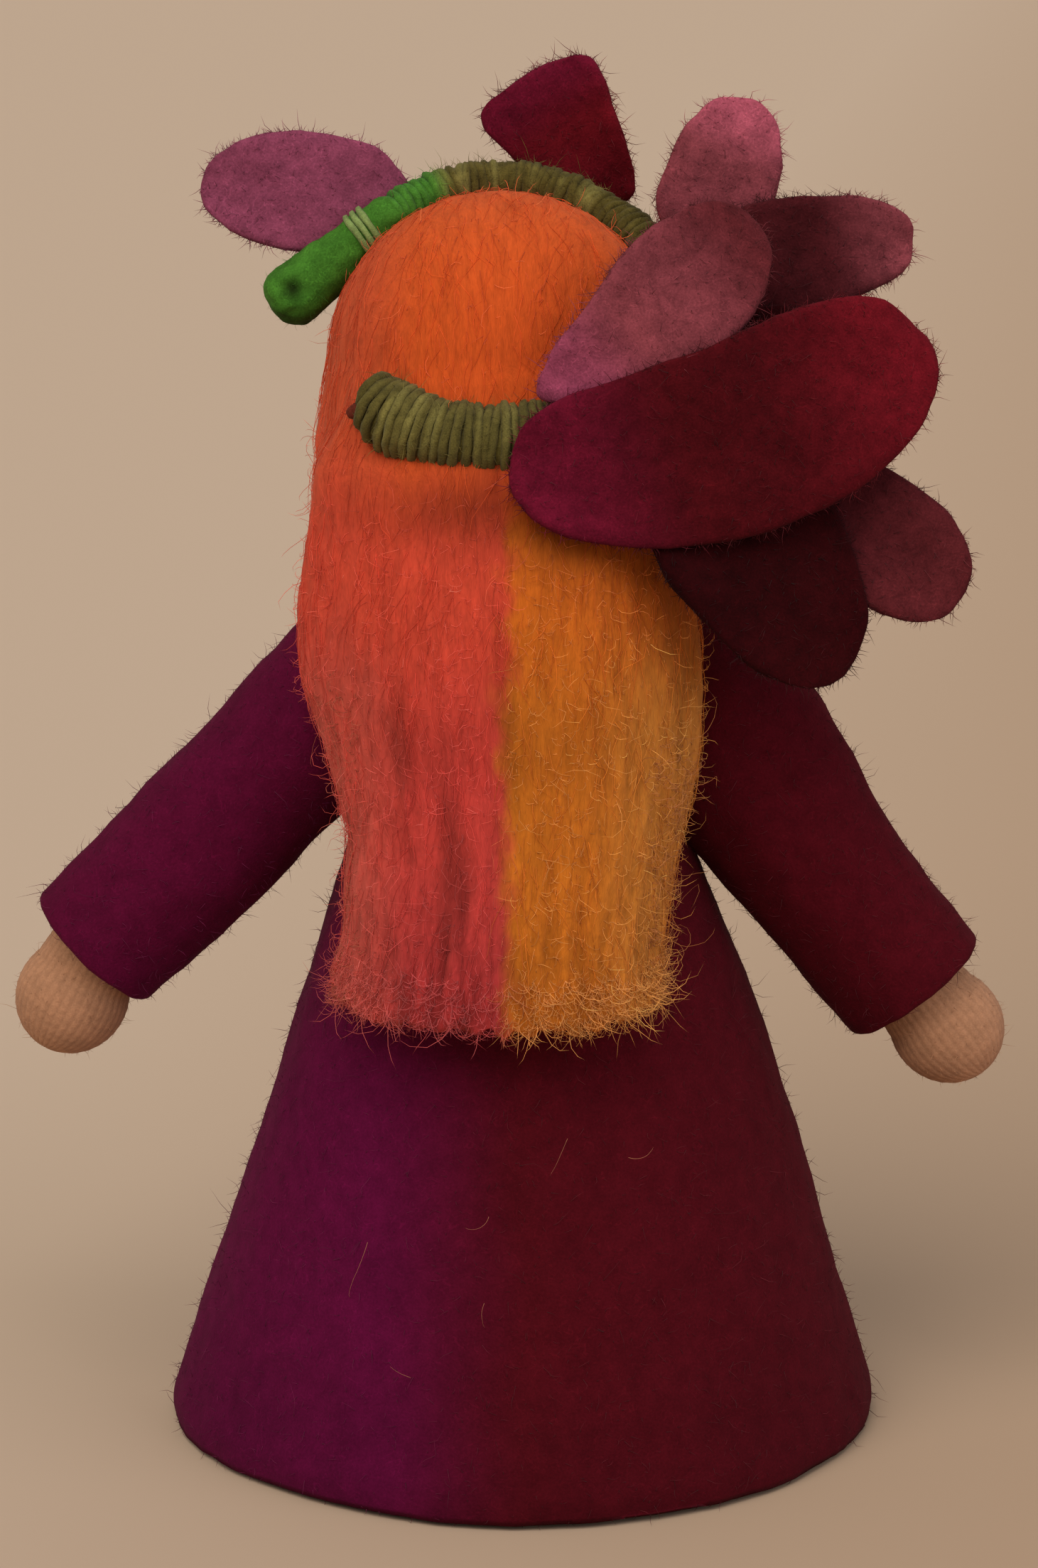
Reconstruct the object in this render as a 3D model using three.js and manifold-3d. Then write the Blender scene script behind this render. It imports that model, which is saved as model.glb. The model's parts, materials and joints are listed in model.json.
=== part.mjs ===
// Small felt flower doll, standing on the hem of its cone dress.
// Millimetres, +Z up, face towards -Y, the doll's left hand on +X.
// The origin is the middle of the base disc's underside.
import * as THREE from 'three';
import { mergeVertices } from 'three/addons/utils/BufferGeometryUtils.js';
import Module from 'manifold-3d';

// Clearances
const GAP = 0.3;
const SOFT_GAP = 0.45;
const CUT_OVERSHOOT = 1;

// Dress
const FELT = 1.3;
const DRESS_HEIGHT = 75;
const HEM_RADIUS = 30;
const NECK_RADIUS = 7.2;
const SEAM_SIDE_BULGE = 1;
const DRESS_DEPTH_SHARE = 0.975;
const SEAM_RIDGE = 0.03;
const SEAM_WIDTH = 0.4;
const HEM_ROLL = 0.9;
const HEM_ROLL_HEIGHT = 3;
const HEM_FLAT = 1.1;
const HEM_FLAT_ANGLE = 50;
const HEM_FLAT_WIDTH = 28;
const FLANK_HOLLOW = 0.7;
const DRESS_LEAN_START = 0.6 * DRESS_HEIGHT;

// Base disc and stuffing
const BASE_THICKNESS = 2;
const STUFFING_TOP = DRESS_HEIGHT - 4.1;
const WIRE_RADIUS = 0.9;
const WIRE_BORE = WIRE_RADIUS + GAP;
const NECK_WIRE_BOTTOM = 0.4 * DRESS_HEIGHT;
const SHOULDER_WIRE_BACK = 2.4;

// Head
const HEAD_X = 1.3;
const HEAD_Z = DRESS_HEIGHT + 15.2;
const HEAD_RADIUS = 11.4;
const NECK_CORE_RADIUS = 5.4;
const NECK_BOTTOM = STUFFING_TOP + GAP;
const NECK_WIRE_TOP_DROP = 4;
const NECK_WIRE_TOP = HEAD_Z - NECK_WIRE_TOP_DROP;
const NECK_TIE_Z = DRESS_HEIGHT + 2.2;
const NECK_TIE_RADIUS = 0.45;
const EYE_SPREAD = 3.7;
const EYE_DROP = 1.6;
const EYE_RADIUS = 0.75;
const MOUTH_DROP = 5.4;
const MOUTH_LENGTH = 2.6;
const MOUTH_RADIUS = 0.35;
const STITCH_SINK = 0.6;

// Hair
const CAP_THICKNESS = 2.3;
const CAP_RADIUS = HEAD_RADIUS + CAP_THICKNESS;
const CAP_SKIRT_RADIUS = CAP_RADIUS + 1.4;
const CAP_TOP = HEAD_Z + 13.4;
const CAP_BOTTOM = HEAD_Z - 7.1;
const CAP_SHOULDER_DROP = 13;
const FACE_HALF_WIDTH = 9.3;
const FACE_HALF_HEIGHT = 10.6;
const FACE_DROP = 1.8;
const FACE_BACK = -1.5;
const FACE_CUT_DEPTH = 20;
const FALL_TOP = CAP_BOTTOM - GAP;
const FALL_FRONT = 8.9;
const PARTING_X = 0.7;
const HALF_BOX = 4 * CAP_RADIUS;

// Arms
const SHOULDER_X = 11.3;
const SHOULDER_Z = DRESS_HEIGHT - 10;
const PUFF_RADIUS = 7.2;
const SLEEVE_START_RADIUS = 7.3;
const ARM_CORE_RADIUS = 3.3;
const ARM_WIRE_RADIUS = 0.7;
const WRIST_INSET = 1.2;
const WRIST_RADIUS = 3.4;
const HAND_REACH = 5.3;
const HAND_LENGTH = 9.6;
const HAND_WIDTH = 9.4;
const HAND_THICKNESS = 8.2;
const ARM_LOWER = 10;
const ARM_BACK = 8;
const ARM_FORWARD = 30;
const ARMS = [
  { side: 'left', sign: 1, droop: 45.5, length: 34.3, cuffRadius: 6.5, handDroop: 16 },
  { side: 'right', sign: -1, droop: 51.5, length: 35.4, cuffRadius: 6.75, handDroop: 0 },
];

// Crown ring, a wrapped wire bent to a C that is open on the doll's left, narrower and thinner in front
const CROWN_TILT = 38.3;
const CROWN_RISE = 6.15;
const CROWN_HALF_WIDTH = 15.4;
const CROWN_HALF_DEPTH = 14.1;
const CROWN_PINCH = 0.22;
const CROWN_START = 41;
const CROWN_END = -145.5;
const GREEN_START = -216;
const GREEN_END = -226;
const CROWN_WIRE_RADIUS = 0.5;
const CROWN_BORE = CROWN_WIRE_RADIUS + GAP;
const BAND_RADIUS = 2.6;
const FRONT_BAND_RADIUS = 1.7;
const THINNING = { from: -60, to: -110 };
const BACK_WINDING = { name: 'crown_wrap_back', from: 36, to: -11, turns: 9, radius: 2.75, yarn: 0.35 };
const FRONT_WINDING = { name: 'crown_wrap_front', from: -149, to: -213, turns: 9, radius: 1.64, yarn: 0.42 };
const WOUND_CORE_RADIUS = BACK_WINDING.radius - 2 * BACK_WINDING.yarn - GAP;
const LIFT_CUTS = [0, 1.6];
const WINDING_SLACK = 2;
const BAND_STEP_DOWN = 0.6;
const BUD_ROOT_RADIUS = 2;
const BUD_TIP_RADIUS = 2.6;

// Colours and finishes
const FABRIC_ROUGHNESS = 0.95;
const WIRE_ROUGHNESS = 0.4;
const fabric = (color) => ({ color, roughness: FABRIC_ROUGHNESS, metalness: 0 });
const felt = { plum: fabric(0x4a0520), base: fabric(0x3c0a22), green: fabric(0x2a7a22),
  mauve: fabric(0x8c4460), wine: fabric(0x5a0c1c) };
const wool = { stuffing: fabric(0xd8cdb8), orange: fabric(0xc85a1e), red: fabric(0xc3413c),
  yellow: fabric(0xc07018) };
const thread = { cream: fabric(0xe0c8a8), dark: fabric(0x3a2a20), red: fabric(0xa03c3c),
  olive: fabric(0x62602f) };
const knit = fabric(0xd8b48c);
const steel = { color: 0x9a9a9a, roughness: WIRE_ROUGHNESS, metalness: 1 };

// Bud and petals: places are across, back and up from the middle of the crown ring
const BUD_TIP = [16.6, -5.2, -3.7];
const PETAL_THICKNESS = 1.9;
const PETAL_EDGE = 0.3;
const PETALS = [
  { name: 'petal_wine_back', root: [-0.7, 17.5, 1.2], tip: [-33.1, 4.6, 2.6], face: [-0.2, 1, 0.15],
    width: 14, blunt: 2.5, flare: 0.09, bow: [-1, 2.6, -3.2], cup: 0.8, look: felt.wine },
  { name: 'petal_mauve_back', root: [-3, 13, 4.1], tip: [-19.6, -1.1, 9.8], face: [-0.3, 1, 0.4],
    width: 9.6, blunt: 1.6, flare: 0.49, bow: [-1.4, 1.6, -0.3], cup: 0.9, look: felt.mauve },
  { name: 'petal_mauve_low', ring: -68, tip: [-36.9, 19.7, -12.6], face: [-0.35, 1, 0.1],
    width: 9.4, blunt: 2.2, flare: 0.4, bow: [0.4, 1.2, -0.6], cup: 0.8, look: felt.mauve },
  { name: 'petal_wine_low', ring: -52, tip: [-27.4, 25.7, -14.5], face: [-0.6, 1, 0],
    width: 12.6, blunt: 2.3, flare: -0.29, bow: [-0.7, 2.4, -0.1], cup: 0.7, look: felt.wine },
  { name: 'petal_wine_side', ring: -81, tip: [-31.5, 7.1, -7.2], face: [-0.2, 1, 0.2],
    width: 11, blunt: 2.4, flare: 0, bow: [-0.2, 0.8, 0.2], cup: 0.7, look: felt.wine },
  { name: 'petal_mauve_side', ring: -94, tip: [-33.1, -4.6, 2.9], face: [0, 1, 0.2],
    width: 9.4, blunt: 2.8, flare: -0.3, bow: [0, 0.8, 1.1], cup: 0.8, look: felt.mauve },
  { name: 'petal_mauve_high', ring: -108, tip: [-19.4, -16, 7.7], face: [0, 1, 0.1],
    width: 9.2, blunt: 2.5, flare: -0.25, bow: [-1, 0.6, -0.8], cup: 0.8, look: felt.mauve },
  { name: 'petal_wine_front', root: [-9.8, -14.6, -3.4], tip: [-2.3, -20.8, 5.5], face: [0.2, 1, 0.1],
    width: 9.3, blunt: 3.9, flare: 0.33, bow: [0.9, 0.2, 0.9], cup: 0.8, look: felt.wine },
  { name: 'petal_mauve_left', ring: -206, tip: [24.5, -13.9, 0.2], face: [0, 1, 0.4],
    width: 9.7, blunt: 1.6, flare: 0.09, bow: [0.9, 0.6, -0.5], cup: 0.9, look: felt.mauve },
];

// Mesh detail
const DRESS_SEGMENTS = 32;
const DRESS_ROWS = 6;
const BALL_SEGMENTS = 16;
const BALL_ROW_SHARE = 0.7;
const ROD_SIDES = 12;
const SLEEVE_SEGMENTS = 16;
const HEAD_SEGMENTS = 24;
const STITCH_SEGMENTS = 10;
const TIE_SEGMENTS = 18;
const PETAL_SECTIONS = 11;
const PETAL_SEGMENTS = 12;
const BAND_SEGMENTS = 10;
const BAND_STEP = 9;
const YARN_SIDES = 6;
const STEPS_PER_TURN = 20;
const HAIR_SEGMENTS = 26;
const CAP_STEP = 12;
const FACE_SIDES = 28;
const MERGE_DISTANCE = 1e-5;

const wasm = await Module();
wasm.setup();
const doll = new THREE.Group();
const radians = THREE.MathUtils.degToRad;
const vec = (x, y, z) => new THREE.Vector3(x, y, z);

// Solids from meshes and back
function toSolid(geometry) {
  const bare = geometry.clone();
  bare.deleteAttribute('normal');
  bare.deleteAttribute('uv');
  const merged = mergeVertices(bare, MERGE_DISTANCE);
  const vertProperties = new Float32Array(merged.attributes.position.array);
  const triVerts = new Uint32Array(merged.index.array);
  return new wasm.Manifold(new wasm.Mesh({ numProp: 3, vertProperties, triVerts }));
}

function toGeometry(solid) {
  const mesh = solid.getMesh();
  const geometry = new THREE.BufferGeometry();
  geometry.setAttribute('position', new THREE.BufferAttribute(mesh.vertProperties, 3));
  geometry.setIndex(new THREE.BufferAttribute(mesh.triVerts, 1));
  return geometry;
}

function subtract(solid, cutters) {
  return cutters.reduce((rest, cutter) => rest.subtract(cutter), solid);
}

function addPiece(name, shape, look) {
  const geometry = shape.isBufferGeometry ? shape : toGeometry(shape);
  const mesh = new THREE.Mesh(geometry, new THREE.MeshStandardMaterial(look));
  mesh.name = name;
  doll.add(mesh);
}

// Closed body through rings of points that turn right-handed about the way they go
function loft(rings, startPoint, endPoint) {
  const sides = rings[0].length;
  const middle = (ring) => ring.reduce((sum, p) => sum.add(p), vec(0, 0, 0)).divideScalar(sides);
  const points = [...rings.flat(), startPoint ?? middle(rings[0]), endPoint ?? middle(rings.at(-1))];
  const startIndex = points.length - 2;
  const endIndex = points.length - 1;
  const last = (rings.length - 1) * sides;
  const index = [];
  for (let j = 0; j < sides; j += 1) {
    const k = (j + 1) % sides;
    index.push(startIndex, k, j);
    index.push(endIndex, last + j, last + k);
    for (let i = 0; i < rings.length - 1; i += 1) {
      const low = i * sides;
      const high = low + sides;
      index.push(low + j, low + k, high + k);
      index.push(low + j, high + k, high + j);
    }
  }
  const places = new THREE.Float32BufferAttribute(points.flatMap((p) => p.toArray()), 3);
  const geometry = new THREE.BufferGeometry();
  geometry.setAttribute('position', places);
  geometry.setIndex(index);
  return geometry;
}

function ball(radius, x, y, z, segments = BALL_SEGMENTS) {
  const geometry = new THREE.SphereGeometry(radius, segments, Math.round(segments * BALL_ROW_SHARE));
  return geometry.rotateX(Math.PI / 2).translate(x, y, z);
}

function rod(radius, from, to, sides = ROD_SIDES) {
  const way = to.clone().sub(from);
  const geometry = new THREE.CylinderGeometry(radius, radius, way.length(), sides);
  const turn = new THREE.Quaternion().setFromUnitVectors(vec(0, 1, 0), way.clone().normalize());
  const middle = from.clone().add(to).divideScalar(2);
  return geometry.applyQuaternion(turn).translate(middle.x, middle.y, middle.z);
}

// Dress outline, as rings about an axis that leans to the neck
function dressRadius(z) {
  const t = THREE.MathUtils.clamp(z / DRESS_HEIGHT, 0, 1);
  const straight = HEM_RADIUS + (NECK_RADIUS - HEM_RADIUS) * t;
  const roll = HEM_ROLL * Math.max(0, 1 - z / HEM_ROLL_HEIGHT) ** 2;
  return straight - roll;
}

function dressBulge(z, angle) {
  const height = THREE.MathUtils.clamp(z / DRESS_HEIGHT, 0, 1);
  const seamSide = (1 - Math.cos(angle)) / 2;
  const flank = SEAM_SIDE_BULGE * seamSide - FLANK_HOLLOW * (1 - seamSide);
  const fromFlat = (angle - radians(HEM_FLAT_ANGLE)) / radians(HEM_FLAT_WIDTH);
  return flank * Math.sin(Math.PI * height) - HEM_FLAT * Math.exp(-(fromFlat ** 2)) * (1 - height);
}

function dressCentreX(z) {
  return HEAD_X * THREE.MathUtils.smoothstep(z, DRESS_LEAN_START, DRESS_HEIGHT);
}

function dressRing(z, grow, height = z) {
  const ring = [];
  for (let j = 0; j < DRESS_SEGMENTS; j += 1) {
    const angle = (2 * Math.PI * j) / DRESS_SEGMENTS;
    const fromSeam = Math.atan2(Math.sin(angle - Math.PI), Math.cos(angle - Math.PI));
    const ridge = 1 + SEAM_RIDGE * Math.exp(-((fromSeam / SEAM_WIDTH) ** 2));
    const radius = dressRadius(z) * ridge + dressBulge(z, angle) + grow;
    const x = dressCentreX(z) + radius * Math.cos(angle);
    ring.push(vec(x, radius * DRESS_DEPTH_SHARE * Math.sin(angle), height));
  }
  return ring;
}

function dressBody(bottom, top, grow, overshoot = 0) {
  const rings = [];
  for (let i = 0; i <= DRESS_ROWS; i += 1) {
    const z = bottom + ((top - bottom) * i) / DRESS_ROWS;
    rings.push(dressRing(z, grow));
  }
  rings.splice(1, 0, dressRing(bottom + HEM_ROLL_HEIGHT / 2, grow));
  if (overshoot > 0) {
    rings.unshift(dressRing(bottom, grow, bottom - overshoot));
    rings.push(dressRing(top, grow, top + overshoot));
  }
  return loft(rings);
}

// The torso as the arm meets it when the arm is raised and swung by these angles
function turnAtShoulder(geometry, arm, raise, swing) {
  const x = arm.sign * SHOULDER_X;
  const moved = geometry.clone().translate(-x, 0, -SHOULDER_Z);
  moved.rotateZ(arm.sign * radians(swing));
  moved.rotateY(arm.sign * radians(raise));
  return moved.translate(x, 0, SHOULDER_Z);
}

// Torso
const shoulderBall = (arm, radius) => ball(radius, arm.sign * SHOULDER_X, 0, SHOULDER_Z);
const shoulderSockets = ARMS.map((arm) => toSolid(shoulderBall(arm, PUFF_RADIUS + GAP)));
const dressOuter = toSolid(dressBody(0, DRESS_HEIGHT, 0));
const dressInner = toSolid(dressBody(0, DRESS_HEIGHT, -FELT, CUT_OVERSHOOT));
addPiece('dress_cone', subtract(dressOuter, [dressInner, ...shoulderSockets]), felt.plum);

const baseRings = [0, BASE_THICKNESS].map((z) => dressRing(HEM_ROLL_HEIGHT, -FELT - GAP - HEM_ROLL, z));
addPiece('base_disc', loft(baseRings), felt.base);

const socketHalfChord = Math.sqrt((PUFF_RADIUS + GAP) ** 2 - SHOULDER_WIRE_BACK ** 2);
const shoulderWireReach = SHOULDER_X - socketHalfChord - GAP;

function shoulderWire(radius, reach) {
  const [right, left] = [-reach, reach].map((x) => vec(x, SHOULDER_WIRE_BACK, SHOULDER_Z));
  return rod(radius, right, left);
}

function neckWire(radius, bottom, top) {
  return rod(radius, vec(HEAD_X, 0, bottom), vec(HEAD_X, 0, top));
}

const stuffing = toSolid(dressBody(BASE_THICKNESS + GAP, STUFFING_TOP, -FELT - GAP));
addPiece('body_stuffing', subtract(stuffing, [
  ...shoulderSockets,
  toSolid(shoulderWire(WIRE_BORE, SHOULDER_X - PUFF_RADIUS / 2)),
  toSolid(neckWire(WIRE_BORE, NECK_WIRE_BOTTOM - GAP, STUFFING_TOP + CUT_OVERSHOOT)),
]), wool.stuffing);
addPiece('shoulder_wire', shoulderWire(WIRE_RADIUS, shoulderWireReach), steel);
addPiece('neck_wire', neckWire(WIRE_RADIUS, NECK_WIRE_BOTTOM, NECK_WIRE_TOP), steel);

// Arms, built hanging along -Z from the shoulder and then turned to their droop
function placeArm(geometry, arm) {
  const x = arm.sign * SHOULDER_X;
  return geometry.clone().rotateY(arm.sign * radians(arm.droop - 90)).translate(x, 0, SHOULDER_Z);
}

function sleeveTube(arm, grow, overshoot) {
  const rings = [arm.length + overshoot, arm.length / 2, -overshoot].map((distance) => {
    const t = THREE.MathUtils.clamp(distance / arm.length, 0, 1);
    const radius = SLEEVE_START_RADIUS + (arm.cuffRadius - SLEEVE_START_RADIUS) * t + grow;
    return Array.from({ length: SLEEVE_SEGMENTS }, (_, j) => {
      const angle = (2 * Math.PI * j) / SLEEVE_SEGMENTS;
      return vec(radius * Math.cos(angle), radius * Math.sin(angle), -distance);
    });
  });
  return loft(rings);
}

const dressCutter = dressBody(0, DRESS_HEIGHT, SOFT_GAP, CUT_OVERSHOOT);
const SLEEVE_POSES = [[0, 0], [-ARM_LOWER / 2, 0], [-ARM_LOWER, 0], [0, -ARM_BACK], [-ARM_LOWER, -ARM_BACK],
  [0, ARM_FORWARD / 2], [0, ARM_FORWARD]];

for (const arm of ARMS) {
  const socket = toSolid(shoulderBall(arm, PUFF_RADIUS + GAP));
  const dressPoses = SLEEVE_POSES.map(([raise, swing]) => turnAtShoulder(dressCutter, arm, raise, swing));
  const dressSwept = dressPoses.map(toSolid);
  addPiece(`shoulder_puff_${arm.side}`, shoulderBall(arm, PUFF_RADIUS), felt.plum);

  const tube = toSolid(placeArm(sleeveTube(arm, 0, 0), arm));
  const hollow = toSolid(placeArm(sleeveTube(arm, -FELT, CUT_OVERSHOOT), arm));
  addPiece(`sleeve_${arm.side}`, subtract(tube, [hollow, socket, ...dressSwept]), felt.plum);

  const wristZ = -(arm.length - WRIST_INSET);
  const wristSocket = toSolid(placeArm(ball(WRIST_RADIUS + GAP, 0, 0, wristZ), arm));
  const coreEnds = [vec(0, 0, -PUFF_RADIUS / 2), vec(0, 0, wristZ)];
  const core = toSolid(placeArm(rod(ARM_CORE_RADIUS, ...coreEnds, SLEEVE_SEGMENTS), arm));
  const bore = toSolid(placeArm(rod(ARM_WIRE_RADIUS + GAP, ...coreEnds), arm));
  addPiece(`arm_core_${arm.side}`, subtract(core, [socket, wristSocket, bore, ...dressSwept]), knit);

  const wireStart = -(PUFF_RADIUS + 2 * GAP);
  const wireEnd = wristZ + WRIST_RADIUS + 2 * GAP;
  const armWire = rod(ARM_WIRE_RADIUS, vec(0, 0, wireStart), vec(0, 0, wireEnd));
  addPiece(`arm_wire_${arm.side}`, placeArm(armWire, arm), steel);

  const wristBall = toSolid(ball(WRIST_RADIUS, 0, 0, wristZ));
  const mitten = ball(HAND_LENGTH / 2, 0, 0, 0)
    .scale(HAND_WIDTH / HAND_LENGTH, HAND_THICKNESS / HAND_LENGTH, 1)
    .translate(0, 0, -HAND_REACH)
    .rotateY(arm.sign * radians(arm.handDroop))
    .translate(0, 0, wristZ);
  const hand = toGeometry(wristBall.add(toSolid(mitten)));
  addPiece(`hand_${arm.side}`, placeArm(hand, arm), knit);
}

// Head
const headBall = toSolid(ball(HEAD_RADIUS, HEAD_X, 0, HEAD_Z, HEAD_SEGMENTS));
const neckEnds = [vec(HEAD_X, 0, NECK_BOTTOM), vec(HEAD_X, 0, HEAD_Z)];
const neckRod = (radius) => toSolid(rod(radius, ...neckEnds, HEAD_SEGMENTS));
const neckBore = toSolid(neckWire(WIRE_BORE, NECK_BOTTOM - CUT_OVERSHOOT, NECK_WIRE_TOP + GAP));
addPiece('head_ball', headBall.add(neckRod(NECK_CORE_RADIUS)).subtract(neckBore), knit);

const tieRadius = NECK_CORE_RADIUS + GAP + NECK_TIE_RADIUS;
const tie = new THREE.TorusGeometry(tieRadius, NECK_TIE_RADIUS, YARN_SIDES, TIE_SEGMENTS);
addPiece('neck_tie', tie.translate(HEAD_X, 0, NECK_TIE_Z), thread.cream);

// Stitches on the face lie just off the skin, each on its own radius of the head
function onFace(geometry, x, drop, thickness) {
  const radial = vec(x, -Math.sqrt(HEAD_RADIUS ** 2 - x ** 2 - drop ** 2), -drop).normalize();
  const place = radial.clone().multiplyScalar(HEAD_RADIUS + GAP + thickness);
  const turn = new THREE.Quaternion().setFromUnitVectors(vec(0, -1, 0), radial);
  return geometry.applyQuaternion(turn).translate(place.x + HEAD_X, place.y, place.z + HEAD_Z);
}

for (const [side, sign] of [['left', 1], ['right', -1]]) {
  const eye = ball(EYE_RADIUS, 0, 0, 0, STITCH_SEGMENTS).scale(1, STITCH_SINK, 1);
  addPiece(`eye_${side}`, onFace(eye, sign * EYE_SPREAD, EYE_DROP, EYE_RADIUS * STITCH_SINK), thread.dark);
}
const mouth = ball(MOUTH_RADIUS, 0, 0, 0, STITCH_SEGMENTS).scale(MOUTH_LENGTH / (2 * MOUTH_RADIUS), 1, 1);
addPiece('mouth_stitch', onFace(mouth, 0, MOUTH_DROP, MOUTH_RADIUS), thread.red);

// Crown ring frame: angle 0 at the back, positive towards the doll's left
const crownAxis = vec(0, Math.sin(radians(CROWN_TILT)), Math.cos(radians(CROWN_TILT)));
const crownBack = vec(0, Math.cos(radians(CROWN_TILT)), -Math.sin(radians(CROWN_TILT)));
const crownCentre = vec(HEAD_X, 0, HEAD_Z).addScaledVector(crownAxis, CROWN_RISE);

function crownPlace(across, back, up) {
  const place = crownCentre.clone().add(vec(across, 0, 0));
  return place.addScaledVector(crownBack, back).addScaledVector(crownAxis, up);
}

function crownPoint(degrees) {
  const front = (1 - Math.cos(radians(degrees))) / 2;
  const halfWidth = CROWN_HALF_WIDTH * (1 - CROWN_PINCH * front ** 2);
  return crownPlace(halfWidth * Math.sin(radians(degrees)), CROWN_HALF_DEPTH * Math.cos(radians(degrees)), 0);
}

function crownOutward(degrees) {
  const along = crownPoint(degrees + 1).sub(crownPoint(degrees - 1));
  return crownAxis.clone().cross(along).normalize();
}

function bandRadius(degrees) {
  const thinned = THREE.MathUtils.smoothstep(-degrees, -THINNING.from, -THINNING.to);
  return THREE.MathUtils.lerp(BAND_RADIUS, FRONT_BAND_RADIUS, thinned);
}

function crownRing(degrees, radius, sides) {
  const outward = crownOutward(degrees);
  return Array.from({ length: sides }, (_, j) => {
    const angle = (2 * Math.PI * j) / sides;
    return crownPoint(degrees)
      .addScaledVector(outward, radius * Math.cos(angle))
      .addScaledVector(crownAxis, -radius * Math.sin(angle));
  });
}

function crownTube(stretches, sides) {
  const rings = stretches.flatMap(({ from, to, radius }) => {
    const count = Math.ceil((from - to) / BAND_STEP);
    const angles = Array.from({ length: count + 1 }, (_, i) => from + ((to - from) * i) / count);
    return angles.map((degrees) => crownRing(degrees, radius(degrees), sides));
  });
  return toSolid(loft(rings));
}

// The band is thin under the winding at its back, and ends where the front winding begins
const { from: woundFrom, to: woundTo } = BACK_WINDING;
const band = crownTube([
  { from: CROWN_START, to: woundFrom + WINDING_SLACK + BAND_STEP_DOWN, radius: bandRadius },
  { from: woundFrom + WINDING_SLACK, to: woundTo - WINDING_SLACK, radius: () => WOUND_CORE_RADIUS },
  { from: woundTo - WINDING_SLACK - BAND_STEP_DOWN, to: CROWN_END, radius: bandRadius },
], BAND_SEGMENTS);
const wireSpan = { from: CROWN_START, to: GREEN_END };
const openSpan = { from: CROWN_START + CUT_OVERSHOOT, to: GREEN_END - CUT_OVERSHOOT };
const boreTube = crownTube([{ ...openSpan, radius: () => CROWN_BORE }], YARN_SIDES);
const greenTube = crownTube([{ from: GREEN_START, to: GREEN_END, radius: bandRadius }], BAND_SEGMENTS);
addPiece('crown_band', band.subtract(boreTube), thread.olive);
addPiece('crown_band_green', greenTube.subtract(boreTube), felt.green);
addPiece('crown_wire', crownTube([{ ...wireSpan, radius: () => CROWN_WIRE_RADIUS }], YARN_SIDES), steel);

// One unbroken strand of yarn wound round the band's core, or in front round the wire
function windingPath({ from, to, turns, radius, yarn }) {
  const path = [];
  const steps = turns * STEPS_PER_TURN;
  for (let i = 0; i <= steps; i += 1) {
    const degrees = from + ((to - from) * i) / steps;
    const angle = (2 * Math.PI * i) / STEPS_PER_TURN;
    const away = crownOutward(degrees).multiplyScalar(Math.cos(angle));
    away.addScaledVector(crownAxis, Math.sin(angle));
    const point = crownPoint(degrees).addScaledVector(away, radius - yarn);
    path.push({ point, away });
  }
  return path;
}

function strand(path, yarn) {
  const rings = path.map(({ point, away }, i) => {
    const before = path[Math.max(i - 1, 0)].point;
    const after = path[Math.min(i + 1, path.length - 1)].point;
    const along = after.clone().sub(before).normalize();
    const out = away.clone().addScaledVector(along, -away.dot(along)).normalize();
    const side = along.clone().cross(out);
    return Array.from({ length: YARN_SIDES }, (_, j) => {
      const angle = (2 * Math.PI * j) / YARN_SIDES;
      return point.clone()
        .addScaledVector(out, yarn * Math.cos(angle))
        .addScaledVector(side, yarn * Math.sin(angle));
    });
  });
  return loft(rings);
}

function leastGap(path, yarn) {
  let least = Infinity;
  for (let i = 0; i < path.length; i += 1) {
    for (let j = i + STEPS_PER_TURN / 2; j < path.length; j += 1) {
      least = Math.min(least, path[i].point.distanceTo(path[j].point) - 2 * yarn);
    }
  }
  return least;
}

for (const winding of [BACK_WINDING, FRONT_WINDING]) {
  const path = windingPath(winding);
  const gap = leastGap(path, winding.yarn).toFixed(2);
  console.log(`${winding.name}: ${winding.turns} turns, least gap ${gap} mm`);
  addPiece(winding.name, strand(path, winding.yarn), thread.olive);
}

// Green bud at the ring's front end
const budRoot = crownPoint(GREEN_END);
const budTip = crownPlace(...BUD_TIP);

function budBody(grow) {
  const rootBall = toSolid(ball(BUD_ROOT_RADIUS + grow, budRoot.x, budRoot.y, budRoot.z));
  const tipBall = toSolid(ball(BUD_TIP_RADIUS + grow, budTip.x, budTip.y, budTip.z));
  return rootBall.add(tipBall).hull();
}

const greenSpan = { from: FRONT_WINDING.to + WINDING_SLACK, to: GREEN_END - CUT_OVERSHOOT };
const greenClear = crownTube([{ ...greenSpan, radius: (at) => bandRadius(at) + GAP }], BAND_SEGMENTS);
addPiece('bud_green', budBody(0).subtract(greenClear), felt.green);

// Hair
function capBody() {
  const shoulder = CAP_TOP - CAP_SHOULDER_DROP;
  const profile = [new THREE.Vector2(0, CAP_BOTTOM)];
  profile.push(new THREE.Vector2(CAP_SKIRT_RADIUS, CAP_BOTTOM));
  profile.push(new THREE.Vector2(CAP_RADIUS, shoulder));
  for (let degrees = CAP_STEP; degrees < 90; degrees += CAP_STEP) {
    const z = shoulder + CAP_SHOULDER_DROP * Math.sin(radians(degrees));
    profile.push(new THREE.Vector2(CAP_RADIUS * Math.cos(radians(degrees)), z));
  }
  profile.push(new THREE.Vector2(0, CAP_TOP));
  return new THREE.LatheGeometry(profile, HAIR_SEGMENTS).rotateX(Math.PI / 2).translate(HEAD_X, 0, 0);
}

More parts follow.
